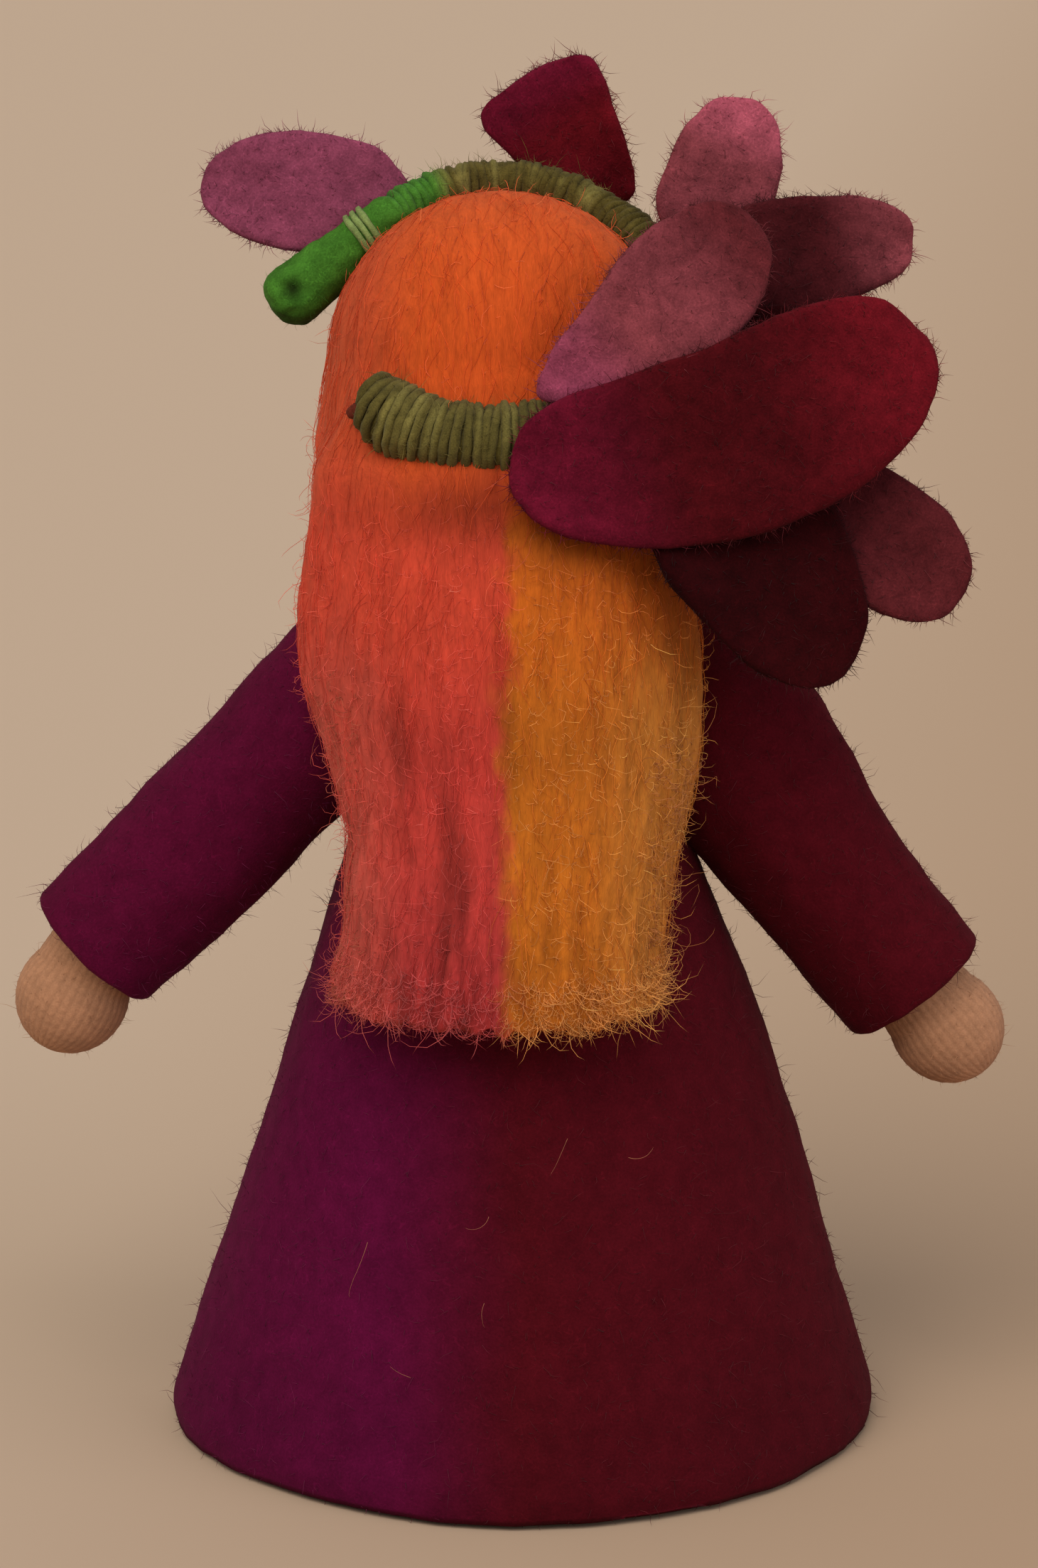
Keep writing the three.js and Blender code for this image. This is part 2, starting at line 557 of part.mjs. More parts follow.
const faceCut = new THREE.CylinderGeometry(1, 1, FACE_CUT_DEPTH, FACE_SIDES)
  .scale(FACE_HALF_WIDTH, 1, FACE_HALF_HEIGHT)
  .translate(HEAD_X, FACE_BACK - FACE_CUT_DEPTH / 2, HEAD_Z - FACE_DROP);
const headClear = toSolid(ball(HEAD_RADIUS + GAP, HEAD_X, 0, HEAD_Z, HEAD_SEGMENTS));
const neckClear = neckRod(NECK_CORE_RADIUS + GAP);
const wrapRadius = (at) => bandRadius(at) + BACK_WINDING.radius - BAND_RADIUS + GAP;
const wrapClear = crownTube([{ ...openSpan, radius: wrapRadius }], BAND_SEGMENTS);
const ringClear = wrapClear.add(budBody(GAP));
const liftBy = (lift) => crownAxis.clone().multiplyScalar(lift).toArray();
const crownClear = LIFT_CUTS.map((lift) => ringClear.translate(liftBy(lift)));
const cap = toSolid(capBody());
addPiece('hair_cap', subtract(cap, [headClear, neckClear, toSolid(faceCut), ...crownClear]), wool.orange);

// Hair falling down the back, as half ovals that widen and narrow on the way down
const FALL_ROWS = [
  { drop: 0, left: 15.6, right: 11.8, depth: 17.3, round: 0.75 },
  { drop: 4.8, left: 16.8, right: 13, depth: 18.5, round: 0.75 },
  { drop: 10.8, left: 17.6, right: 14.4, depth: 20.2, round: 0.7 },
  { drop: 16.8, left: 17.4, right: 15, depth: 21, round: 0.65 },
  { drop: 22.8, left: 15.4, right: 14.9, depth: 20.8, round: 0.6 },
  { drop: 29.8, left: 13.5, right: 14, depth: 21.6, round: 0.5 },
  { drop: 36.8, left: 14.2, right: 13.2, depth: 23.2, round: 0.4 },
  { drop: 42.2, left: 15.6, right: 13.2, depth: 24.4, round: 0.35 },
];

function fallRing({ drop, left, right, depth, round }) {
  const half = HAIR_SEGMENTS / 2;
  return Array.from({ length: half + 1 }, (_, j) => {
    const angle = (Math.PI * j) / half;
    const reach = Math.cos(angle) > 0 ? left : right;
    const bulge = Math.max(0, Math.sin(angle)) ** (2 * round);
    return vec(reach * Math.cos(angle), FALL_FRONT + (depth - FALL_FRONT) * bulge, FALL_TOP - drop);
  });
}

const fallRings = [...FALL_ROWS].reverse().map(fallRing);
const fallBody = toSolid(loft(fallRings));
const dressClear = toSolid(dressBody(0, DRESS_HEIGHT, GAP, CUT_OVERSHOOT));
const puffClear = ARMS.map((arm) => toSolid(shoulderBall(arm, PUFF_RADIUS + SOFT_GAP)));
const fall = subtract(fallBody, [dressClear, headClear, neckClear, ringClear, ...puffClear]);
for (const [side, sign, look] of [['left', 1, wool.red], ['right', -1, wool.yellow]]) {
  const middleX = PARTING_X + sign * (HALF_BOX / 2 + GAP / 2);
  const half = new THREE.BoxGeometry(HALF_BOX, HALF_BOX, HALF_BOX);
  half.translate(middleX, HALF_BOX / 2, FALL_TOP - FALL_ROWS.at(-1).drop / 2);
  addPiece(`hair_fall_${side}`, fall.intersect(toSolid(half)), look);
}

// Petals, as cupped leaves along a bowed midrib
function petalBody(petal, grow) {
  const tip = crownPlace(...petal.tip);
  let root;
  if (petal.root) {
    root = crownPlace(...petal.root);
  } else {
    const onRing = crownPoint(petal.ring);
    const way = tip.clone().sub(onRing).normalize();
    root = onRing.addScaledVector(way, wrapRadius(petal.ring));
  }
  const face = vec(...petal.face).normalize();
  const chord = tip.clone().sub(root);
  const bowed = chord.clone().multiplyScalar(0.5).add(root).addScaledVector(vec(...petal.bow), 2);
  const midrib = new THREE.QuadraticBezierCurve3(root, bowed, tip);
  const rings = [];
  for (let i = 1; i < PETAL_SECTIONS; i += 1) {
    const s = (1 - Math.cos((Math.PI * i) / PETAL_SECTIONS)) / 2;
    const along = midrib.getTangent(s);
    const normal = face.clone().addScaledVector(along, -face.dot(along)).normalize();
    const side = normal.clone().cross(along);
    const ends = (1 - Math.abs(2 * s - 1) ** petal.blunt) ** (1 / petal.blunt);
    const halfWidth = (petal.width / 2) * ends * (1 + petal.flare * (2 * s - 1)) + grow;
    const halfThick = (PETAL_THICKNESS / 2) * Math.sin(Math.PI * s) ** PETAL_EDGE + grow;
    rings.push(Array.from({ length: PETAL_SEGMENTS }, (_, j) => {
      const angle = (2 * Math.PI * j) / PETAL_SEGMENTS;
      const across = Math.cos(angle);
      return midrib.getPoint(s)
        .addScaledVector(side, halfWidth * across)
        .addScaledVector(normal, halfThick * Math.sin(angle) + petal.cup * across ** 2);
    }));
  }
  const startPoint = root.clone().addScaledVector(chord.clone().normalize(), -grow);
  const endPoint = tip.clone().addScaledVector(chord.clone().normalize(), grow);
  return loft(rings, startPoint, endPoint);
}

const placedPetals = [];
for (const petal of PETALS) {
  const body = subtract(toSolid(petalBody(petal, 0)), [ringClear, ...placedPetals]);
  addPiece(petal.name, body, petal.look);
  placedPetals.push(toSolid(petalBody(petal, GAP)));
}

export default doll;
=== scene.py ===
"""Looks of a small felt flower doll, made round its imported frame.

Shapes are worked out in millimetres and turned into metres when a mesh is made.
"""
import json
import math

import bpy
import numpy as np
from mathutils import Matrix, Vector, noise
from mathutils.bvhtree import BVHTree


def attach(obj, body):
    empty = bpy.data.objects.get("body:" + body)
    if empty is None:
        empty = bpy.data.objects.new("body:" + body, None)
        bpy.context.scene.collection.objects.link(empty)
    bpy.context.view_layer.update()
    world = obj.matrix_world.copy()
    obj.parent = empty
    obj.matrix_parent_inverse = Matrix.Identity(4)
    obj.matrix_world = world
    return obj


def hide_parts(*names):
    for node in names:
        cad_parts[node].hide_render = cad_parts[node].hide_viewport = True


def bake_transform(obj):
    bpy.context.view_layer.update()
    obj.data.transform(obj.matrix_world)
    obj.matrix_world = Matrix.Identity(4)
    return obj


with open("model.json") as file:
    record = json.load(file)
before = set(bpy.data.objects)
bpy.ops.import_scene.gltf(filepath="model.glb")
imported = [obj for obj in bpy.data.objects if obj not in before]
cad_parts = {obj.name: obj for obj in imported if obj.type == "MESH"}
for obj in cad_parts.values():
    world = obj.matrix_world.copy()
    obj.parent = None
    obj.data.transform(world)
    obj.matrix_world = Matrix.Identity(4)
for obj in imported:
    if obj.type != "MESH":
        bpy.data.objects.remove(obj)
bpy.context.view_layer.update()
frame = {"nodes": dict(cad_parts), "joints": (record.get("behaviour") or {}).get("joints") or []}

MM = 0.001
rng = np.random.default_rng(11)
joints = {joint["name"]: joint for joint in frame["joints"]}


# Places from the frame
def joint_place(name):
    return np.array(joints[name]["pos_m"]) / MM


HEAD = joint_place("head_turn")
CROWN_AXIS = np.array(joints["crown_lift"]["axis"], float)
CROWN_BACK = np.array([0, CROWN_AXIS[2], -CROWN_AXIS[1]])

# Camera, from the size and slant of the doll in the photograph, in pixels, metres and degrees
PICTURE_HEIGHT = 2206
FOCAL_PIXELS = 7577
SENSOR = 36.0
CAMERA_PLACE = (-0.0002, 0.4327, 0.1618)
CAMERA_PITCH = 13.9

# Dress
HEM_RADIUS, NECK_RADIUS, DRESS_HEIGHT = 30.0, 7.2, 75.0
FELT = 1.3
DRESS_DEPTH = 0.975
SEAM_RIDGE, SEAM_WIDTH = 0.03, 0.4
SEAM_SIDE_BULGE, FLANK_HOLLOW = 0.7, 0.7
SEAM_SIDE_WAIST, WAIST_HEIGHT, WAIST_HALF = 1.1, 48.0, 8.0
HEM_ROLL, HEM_ROLL_HEIGHT = 0.9, 3.0
HEM_FLAT, HEM_FLAT_ANGLE, HEM_FLAT_WIDTH = 1.1, 50.0, 28.0
LEAN_START = 45.0
DRESS_SIDES, BASE_SIDES = 224, 120
FUZZ_ROOM, FUZZ_CURL = 0.2, 0.3

# Arms
SLEEVE_START = 7.3
CUFF_RADIUS = {"left": 6.5, "right": 6.75}
CUFF_PAST_WRIST = 1.2
SLEEVE_CREASE, CREASE_AT, CREASE_HALF = 0.25, 13.0, 3.0
PUFF_RADIUS = 5.9
PADDING_RADIUS, PADDING_START, PADDING_SHORT = 3.3, 6.5, 6.2
HAND_START, HAND_REACH, HAND_LENGTH = -3.0, 5.5, 10.0
HAND_WIDTH, HAND_THICKNESS = 9.4, 8.2
WRIST_RADIUS, WRIST_FLARE = 3.5, 0.12
WALE, COURSE = 1.0, 0.75
HAND_DROOP = {"left": 16.0, "right": 0.0}
SHOULDER_SWELL = {"left": (0.0, 0.0), "right": (0.32, 0.12)}
SHOULDER_AT, SHOULDER_SPAN = 11.0, 7.5

# Crown ring, narrower and thinner in front, its free end curled up
CROWN_RISE = 6.15
RING_HALF_WIDTH, RING_HALF_DEPTH, RING_PINCH = 15.4, 14.1, 0.22
RING_START, CURL_SPAN, CURL_RISE = 34.0, 7.5, 1.7
GREEN_START, GREEN_END = -214.0, -226.0
BAND_RADIUS, FRONT_BAND_RADIUS, BACK_SWELL = 2.6, 1.7, 0.3
THINNING = (60.0, 110.0)
STRAND_RADIUS, STRAND_PITCH = 0.42, 0.66
CORE_INSET = 0.12
NUB_LENGTH, NUB_RADIUS = 1.1, 0.75
BUD_ROOT_RADIUS, BUD_TIP_RADIUS = 1.8, 2.6
BUD_SWELL = BUD_TIP_RADIUS - BUD_ROOT_RADIUS
BUD_TIP = (16.6, -5.2, -3.7)
RING_CENTRE = HEAD + CROWN_AXIS * CROWN_RISE


# Small sums
def unit(v):
    v = np.asarray(v, float)
    return v / np.maximum(np.linalg.norm(v, axis=-1, keepdims=True), 1e-9)


def smooth(low, high, x):
    t = np.clip((np.asarray(x, float) - low) / (high - low), 0, 1)
    return t * t * (3 - 2 * t)


def bell(x, middle, half):
    """A smooth bump of height 1."""
    return np.exp(-((x - middle) / half) ** 2)


def mix(a, b, t):
    t = np.asarray(t, float)[..., None]
    return np.asarray(a) * (1 - t) + np.asarray(b) * t


def srgb(red, green, blue):
    value = np.array([red, green, blue]) / 255
    return np.where(value <= 0.04045, value / 12.92, ((value + 0.055) / 1.055) ** 2.4)


def turn_angles(count):
    """Even angles round a full turn."""
    return 2 * math.pi * np.arange(count) / count


def crosswise(angles, first, second):
    """Directions round the circle that two unit vectors span."""
    return np.cos(angles)[:, None] * first + np.sin(angles)[:, None] * second


def lumps(points, size, seed):
    """Smooth noise, with lumps of that size in millimetres."""
    return np.array([noise.noise(Vector(p)) for p in np.asarray(points) / size + 17.3 * seed])


# Shapes as points and faces
def loft(rows, looped=False):
    """A surface through rings of points, closed by end caps or joined end to end."""
    rows = np.asarray(rows, float)
    count, sides = rows.shape[:2]
    at = np.arange(count * sides).reshape(count, sides)
    beside = np.roll(at, -1, axis=1)
    if looped:
        above, above_beside = np.roll(at, -1, axis=0), np.roll(beside, -1, axis=0)
        quads = np.stack([at, beside, above_beside, above], axis=-1).reshape(-1, 4)
        return rows.reshape(-1, 3), [quads]
    quads = np.stack([at[:-1], beside[:-1], beside[1:], at[1:]], axis=-1).reshape(-1, 4)
    points = np.vstack([rows.reshape(-1, 3), rows[0].mean(0), rows[-1].mean(0)])
    start = np.stack([beside[0], at[0], np.full(sides, count * sides)], axis=-1)
    end = np.stack([at[-1], beside[-1], np.full(sides, count * sides + 1)], axis=-1)
    return points, [quads, start, end]


def outward(points, parts):
    """The faces, turned so that they look out of the closed shape."""
    volume = 0.0
    for part in parts:
        first = points[part[:, 0]]
        for k in range(1, part.shape[1] - 1):
            volume += np.sum(first * np.cross(points[part[:, k]], points[part[:, k + 1]]))
    return parts if volume > 0 else [part[:, ::-1] for part in parts]


def point_normals(points, parts):
    total = np.zeros_like(points)
    for part in parts:
        a, b, c = (points[part[:, k]] for k in (0, 1, -1))
        face = np.cross(b - a, c - a)
        for k in range(part.shape[1]):
            np.add.at(total, part[:, k], face)
    return unit(total)


def roughen(points, parts, layers):
    """Moves points along their normals by noise; layers hold (feature size, height)."""
    away = point_normals(points, parts)
    height = sum(tall * lumps(points, size, k + 1) for k, (size, tall) in enumerate(layers))
    return points + away * height[:, None]


def rough_loft(rows, layers, looped=False):
    points, parts = loft(rows, looped)
    parts = outward(points, parts)
    return roughen(points, parts, layers), parts


def merge(shapes):
    """Several shapes as one set of points and faces."""
    points, parts, total = [], [], 0
    for shape_points, shape_parts in shapes:
        points.append(shape_points)
        parts += [part + total for part in outward(shape_points, shape_parts)]
        total += len(shape_points)
    return np.concatenate(points), parts


def tubes(paths, radius, sides=3):
    """Closed tubes along the paths (count, steps, 3), each tapering to a point."""
    count, steps = paths.shape[:2]
    along = unit(np.gradient(paths, axis=1))
    across = unit(np.cross(along, [0.36, 0.48, 0.8]))
    up = np.cross(along, across)
    taper = np.linspace(1, 0.45, steps)[None, :, None, None]
    thick = np.broadcast_to(radius, (count,))[:, None, None, None] * taper
    circle = crosswise(turn_angles(sides), across[:, :, None], up[:, :, None])
    rings = (paths[:, :, None] + thick * circle)[:, :-1]
    each = (steps - 1) * sides + 1
    points = np.concatenate([rings.reshape(count, -1, 3), paths[:, -1:]], axis=1)
    at = np.arange((steps - 1) * sides).reshape(steps - 1, sides)
    beside = np.roll(at, -1, axis=1)
    quads = np.stack([at[:-1], beside[:-1], beside[1:], at[1:]], axis=-1).reshape(-1, 4)
    tips = np.stack([at[-1], beside[-1], np.full(sides, each - 1)], axis=-1)
    start = at[0][::-1][None]
    offset = (np.arange(count) * each)[:, None, None]
    parts = [(part[None] + offset).reshape(-1, part.shape[1]) for part in (quads, tips, start)]
    return points.reshape(-1, 3), parts, np.repeat(np.arange(count), each)


def yarn_tube(path, radius, sides, twist):
    """One closed strand with the bumps of its two plies; twist is in radians per millimetre."""
    path = np.asarray(path, float)
    along = unit(np.gradient(path, axis=0))
    across = np.zeros_like(path)
    across[0] = unit(np.cross(along[0], [0.3, 0.4, 0.86]))
    for i in range(1, len(path)):
        across[i] = unit(across[i - 1] - along[i] * (across[i - 1] @ along[i]))
    up = np.cross(along, across)
    angle = turn_angles(sides)
    run = np.concatenate([[0], np.cumsum(np.linalg.norm(np.diff(path, axis=0), axis=1))])
    ply = 1 + 0.13 * np.cos(2 * angle[None] - twist * run[:, None])
    circle = crosswise(angle, across[:, None], up[:, None])
    return loft(path[:, None] + radius * ply[..., None] * circle)


def fans(parts):
    """The faces as triangles that fan out from their first corners."""
    return [part[:, [0, k, k + 1]] for part in parts for k in range(1, part.shape[1] - 1)]


def sample_surface(points, parts, count):
    """Random places on a surface and the normals there."""
    triangles = np.concatenate(fans(parts))
    a, b, c = (points[triangles[:, k]] for k in range(3))
    face = np.cross(b - a, c - a)
    area = np.linalg.norm(face, axis=1)
    chosen = rng.choice(len(triangles), count, p=area / area.sum())
    r, s = np.sqrt(rng.random(count)), rng.random(count)
    weights = np.stack([1 - r, r * (1 - s), r * s])[..., None]
    return weights[0] * a[chosen] + weights[1] * b[chosen] + weights[2] * c[chosen], unit(face[chosen])


def sprout(roots, normals, length, lift, curl, steps=3, flow=None):
    """Paths of short curled fibres from just under a surface; each bends about an axis of its own."""
    count = len(roots)
    side = unit(np.cross(normals, rng.normal(size=(count, 3))))
    if flow is not None:
        side = unit(side + flow)
    way = unit(side + normals * (lift * rng.uniform(0.3, 1.6, count))[:, None])
    reach = length * np.exp(0.45 * rng.normal(size=count))
    bend = curl * rng.normal(size=(count, 3))
    paths = [roots - normals * 0.1]
    for _ in range(steps - 1):
        way = unit(way + np.cross(bend, way) + 0.35 * curl * rng.normal(size=(count, 3)))
        paths.append(paths[-1] + way * (reach / (steps - 1))[:, None])
    paths = np.stack(paths, axis=1)
    paths[..., 2] = np.maximum(paths[..., 2], 0.03)
    return paths


# Meshes, materials and pieces
def add_attribute(mesh, name, kind, field, values):
    layer = mesh.attributes.new(name, kind, "POINT")
    layer.data.foreach_set(field, np.asarray(values, np.float32).ravel())


def make_object(name, points, parts, tint=None, comb=None):
    corners = np.concatenate([part.ravel() for part in parts]).astype(np.int32)
    sizes = np.concatenate([np.full(len(part), part.shape[1]) for part in parts])
    starts = np.concatenate([[0], np.cumsum(sizes)[:-1]]).astype(np.int32)
    mesh = bpy.data.meshes.new(name)
    mesh.vertices.add(len(points))
    mesh.vertices.foreach_set("co", (points * MM).astype(np.float32).ravel())
    mesh.loops.add(len(corners))
    mesh.loops.foreach_set("vertex_index", corners)
    mesh.polygons.add(len(sizes))
    mesh.polygons.foreach_set("loop_start", starts)
    mesh.polygons.foreach_set("use_smooth", np.ones(len(sizes), bool))
    mesh.update(calc_edges=True)
    if tint is not None:
        tint = np.broadcast_to(np.clip(tint, 0, 1), points.shape)
        add_attribute(mesh, "tint", "FLOAT_COLOR", "color", np.c_[tint, np.ones(len(points))])
    if comb is not None:
        add_attribute(mesh, "comb", "FLOAT_VECTOR", "vector", comb)
    made = bpy.data.objects.new(name, mesh)
    bpy.context.scene.collection.objects.link(made)
    return made


def add_piece(name, points, parts, tint, material, slot, body, nodes=(), comb=None):
    """A finished piece, in one colour or one for each point.

    It rides on a body, or, given (body, body, start, end), rides on none and stays where it is.
    """
    made = make_object(name, points, outward(points, parts), tint, comb)
    made.data.materials.append(material)
    if nodes:
        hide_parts(*nodes)
    if isinstance(body, str):
        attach(made, body)
    else:
        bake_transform(made)
    return made


def add_fibres(name, paths, radius, tint, spread, material, slot, body):
    """Fibres along paths, each a little lighter or darker than the tint of its root."""
    tint = np.clip(tint * np.exp(spread * rng.normal(size=len(tint)))[:, None], 0, 1)
    points, parts, owner = tubes(paths, radius)
    return add_piece(name, points, parts, tint[owner], material, slot, body)


def new_material(name):
    """A material that has nodes, its tree and its shader."""
    material = bpy.data.materials.new(name)
    material.use_nodes = True
    return material, material.node_tree, material.node_tree.nodes["Principled BSDF"]


def noise_node(tree, size, detail, comb=False):
    """Noise with features of that size in millimetres, in object space or along the combed wool."""
    mapping = tree.nodes.new("ShaderNodeMapping")
    texture = tree.nodes.new("ShaderNodeTexNoise")
    texture.inputs["Scale"].default_value = 1
    texture.inputs["Detail"].default_value = detail
    if comb:
        place = tree.nodes.new("ShaderNodeAttribute")
        place.attribute_name = "comb"
        tree.links.new(place.outputs["Vector"], mapping.inputs["Vector"])
    else:
        place = tree.nodes.new("ShaderNodeTexCoord")
        tree.links.new(place.outputs["Object"], mapping.inputs["Vector"])
    mapping.inputs["Scale"].default_value = [1 / size if comb else 1 / (size * MM)] * 3
    tree.links.new(mapping.outputs["Vector"], texture.inputs["Vector"])
    return texture


def number_node(tree, operation, first, second, third=None):
    node = tree.nodes.new("ShaderNodeMath")
    node.operation = operation
    for socket, value in zip(node.inputs, (first, second, third)):
        if value is None:
            continue
        if isinstance(value, (int, float)):
            socket.default_value = value
        else:
            tree.links.new(value, socket)
    return node.outputs["Value"]


def range_node(tree, value, low, high, to_low, to_high):
    node = tree.nodes.new("ShaderNodeMapRange")
    for socket, number in zip(list(node.inputs)[1:5], (low, high, to_low, to_high)):
        socket.default_value = number
    tree.links.new(value, node.inputs["Value"])
    return node.outputs["Result"]


def ramp_node(tree, value, start, end):
    """A colour between two, for a value from 0 to 1."""
    ramp = tree.nodes.new("ShaderNodeValToRGB")
    ramp.color_ramp.elements[0].color = (*start, 1)
    ramp.color_ramp.elements[1].color = (*end, 1)
    tree.links.new(value, ramp.inputs["Fac"])
    return ramp.outputs["Color"]


def fibre_material(name, dark, light, bump, size=1.2, fine=0.2, sheen=0.1, sheen_tint=(1, 1, 1), net=0.0,
                   net_size=1.6, comb=False, slits=0.0):
    """Wool, felt or yarn: the piece's tint under two noises, with a net of fine fibres or dark slits."""
    material, tree, shader = new_material(name)
    tint = tree.nodes.new("ShaderNodeAttribute")
    tint.attribute_name = "tint"
    coarse = noise_node(tree, size, 3, comb=comb)
    grain = noise_node(tree, fine, 2, comb=comb)
    both = number_node(tree, "ADD", coarse.outputs["Fac"], grain.outputs["Fac"])
    tone = range_node(tree, both, 0.7, 1.3, dark, light)
    if net:
        web = noise_node(tree, net_size, 2)
        web.inputs["Distortion"].default_value = 1.2
        off = number_node(tree, "SUBTRACT", web.outputs["Fac"], 0.5)
        line = range_node(tree, number_node(tree, "ABSOLUTE", off, 0), 0, 0.012, net, 0)
        tone = number_node(tree, "ADD", tone, line)
    # painted shade: dark slits in the gaps between the strands
    if slits:
        gaps = noise_node(tree, 0.24, 1, comb=comb)
        slit = range_node(tree, gaps.outputs["Fac"], 0.64, 0.72, 1, 1 - slits)
        tone = number_node(tree, "MULTIPLY", tone, slit)
    colour = tree.nodes.new("ShaderNodeVectorMath")
    colour.operation = "SCALE"
    tree.links.new(tint.outputs["Color"], colour.inputs[0])
    tree.links.new(tone, colour.inputs["Scale"])
    tree.links.new(colour.outputs["Vector"], shader.inputs["Base Color"])
    shader.inputs["Roughness"].default_value = 0.9
    shader.inputs["Specular IOR Level"].default_value = 0.04
    shader.inputs["Sheen Weight"].default_value = sheen
    shader.inputs["Sheen Roughness"].default_value = 0.6
    shader.inputs["Sheen Tint"].default_value = (*sheen_tint, 1)
    if bump:
        relief = tree.nodes.new("ShaderNodeBump")
        relief.inputs["Strength"].default_value = bump
        relief.inputs["Distance"].default_value = 0.1 * MM
        tree.links.new(grain.outputs["Fac"], relief.inputs["Height"])
        tree.links.new(relief.outputs["Normal"], shader.inputs["Normal"])
    return material


def wire_material():
    material, tree, shader = new_material("bare_wire")
    drawn = noise_node(tree, 0.4, 2)
    colour = ramp_node(tree, drawn.outputs["Fac"], (0.35, 0.35, 0.36), (0.6, 0.6, 0.6))
    tree.links.new(colour, shader.inputs["Base Color"])
    shader.inputs["Metallic"].default_value = 1
    shader.inputs["Roughness"].default_value = 0.35
    return material


felt = fibre_material("plum_felt", dark=0.8, light=1.2, size=1.7, bump=0.5, sheen=0.02,
                      sheen_tint=(1, 0.4, 0.5), net=0.35)
petal_felt = fibre_material("petal_felt", dark=0.72, light=1.28, fine=0.18, bump=0.5, sheen=0.02,
                            sheen_tint=(1, 0.6, 0.7), net=0.45, net_size=1.4)
fuzz = fibre_material("felt_fuzz", dark=0.85, light=1.15, bump=0, sheen=0.03)
wool = fibre_material("combed_wool", dark=0.84, light=1.18, size=0.6, fine=0.14, bump=0.4, sheen=0.08,
                      sheen_tint=(1, 0.8, 0.6), comb=True, slits=0.12)
wool_fibre = fibre_material("wool_fibre", dark=0.88, light=1.12, bump=0, sheen=0.05)
yarn = fibre_material("wound_yarn", dark=0.65, light=1.35, size=0.8, fine=0.12, bump=0.5, sheen=0.05)
knit = fibre_material("fine_knit", dark=0.85, light=1.12, size=0.8, fine=0.15, bump=0.3, sheen=0.05)
stuffing_wool = fibre_material("loose_wool", dark=0.8, light=1.1, size=2.5, fine=0.4, bump=0.6)
thread = fibre_material("thread", dark=0.75, light=1.2, size=0.4, fine=0.1, bump=0.4)
wire = wire_material()

PLUM_VIOLET = srgb(85, 9, 50)
PLUM_WINE = srgb(72, 9, 19)
BASE_PLUM = srgb(78, 12, 40)
GREEN = srgb(62, 112, 36)
# painted shade for the bud's undersides and the dimple at its tip
GREEN_SHADE = srgb(34, 52, 18)
GREEN_LIGHT = srgb(120, 140, 80)
OLIVE = srgb(88, 80, 38)
OLIVE_FRONT = srgb(84, 74, 32)
OLIVE_GLINT = srgb(124, 116, 62)
NUB = srgb(96, 42, 30)
SKIN = srgb(178, 130, 98)
BLUSH = srgb(200, 110, 84)
THREAD_CREAM = srgb(200, 172, 138)
THREAD_DARK = srgb(52, 34, 26)
THREAD_RED = srgb(160, 60, 54)
STUFFING = srgb(206, 192, 170)
HAIR_ORANGE = srgb(206, 84, 32)
HAIR_SIDE = srgb(196, 78, 42)
HAIR_RED = srgb(204, 72, 50)
HAIR_ROSE = srgb(198, 66, 58)
HAIR_DEEP_ROSE = srgb(168, 52, 52)
HAIR_AMBER = srgb(200, 100, 28)
HAIR_GOLD = srgb(194, 108, 30)
# painted side light for the outer edges of the hair falls
HAIR_PALE_ROSE = srgb(208, 94, 78)
HAIR_PALE_GOLD = srgb(200, 136, 58)
WISP_GOLD = srgb(232, 184, 100)
STRAY = srgb(170, 110, 80)


def add_fuzz(name, points, parts, colour, per_mm2, body, slot, length=0.9, lift=0.5, radius=0.026, keep=None):
    """Short fibres that stand off a surface. colour is one colour, or a function of the roots."""
    parts = outward(points, parts)
    corners = [[points[t[:, k]] for k in range(3)] for t in fans(parts)]
    area = sum(np.linalg.norm(np.cross(b - a, c - a), axis=1).sum() / 2 for a, b, c in corners)
    roots, away = sample_surface(points, parts, int(area * per_mm2))
    if keep is not None:
        kept = keep(roots, away)
        roots, away = roots[kept], away[kept]
    shade = colour(roots) if callable(colour) else np.broadcast_to(colour, roots.shape)
    paths = sprout(roots, away, length, lift, FUZZ_CURL)
    return add_fibres(name, paths, radius, shade, 0.2, fuzz, slot, body)


def add_strays(name, starts, ways, length, tint, body, slot, radius=0.02, curl=0.2):
    """Long single fibres that have worked loose, each with its own curl."""
    starts, ways = np.asarray(starts, float), unit(ways)
    paths = sprout(starts, ways, length, 2.0, curl, steps=11, flow=2.5 * ways)
    add_fibres(name, paths, radius, np.broadcast_to(tint, starts.shape), 0.15, wool_fibre, slot, body)


# Dress
def dress_radius(z):
    t = np.clip(z / DRESS_HEIGHT, 0, 1)
    roll = HEM_ROLL * np.maximum(0, 1 - z / HEM_ROLL_HEIGHT) ** 2
    return HEM_RADIUS + (NECK_RADIUS - HEM_RADIUS) * t - roll


def dress_bulge(z, angle):
    """The seam side rounds out, the other flank is hollow, and the hem is pressed flat at one place."""
    height = min(max(z / DRESS_HEIGHT, 0), 1)
    seam_side = (1 - np.cos(angle)) / 2
    flank = SEAM_SIDE_BULGE * seam_side - FLANK_HOLLOW * (1 - seam_side)
    waist = SEAM_SIDE_WAIST * seam_side ** 2 * math.exp(-((z - WAIST_HEIGHT) / WAIST_HALF) ** 2)
    pressed = HEM_FLAT * bell(np.degrees(angle), HEM_FLAT_ANGLE, HEM_FLAT_WIDTH) * (1 - height)
    return flank * math.sin(math.pi * height) - waist - pressed


def dress_rows(heights, insets, sides):
    angle = turn_angles(sides)
    from_seam = np.arctan2(np.sin(angle - math.pi), np.cos(angle - math.pi))
    ridge = 1 + SEAM_RIDGE * bell(from_seam, 0, SEAM_WIDTH)
    rows = []
    for z, inset in zip(heights, insets):
        radius = dress_radius(z) * ridge + dress_bulge(z, angle) - inset - FUZZ_ROOM
        x = HEAD[0] * smooth(LEAN_START, DRESS_HEIGHT, z) + radius * np.cos(angle)
        y = radius * DRESS_DEPTH * np.sin(angle)
        rows.append(np.stack([x, y, np.full(sides, z)], axis=-1))
    return rows


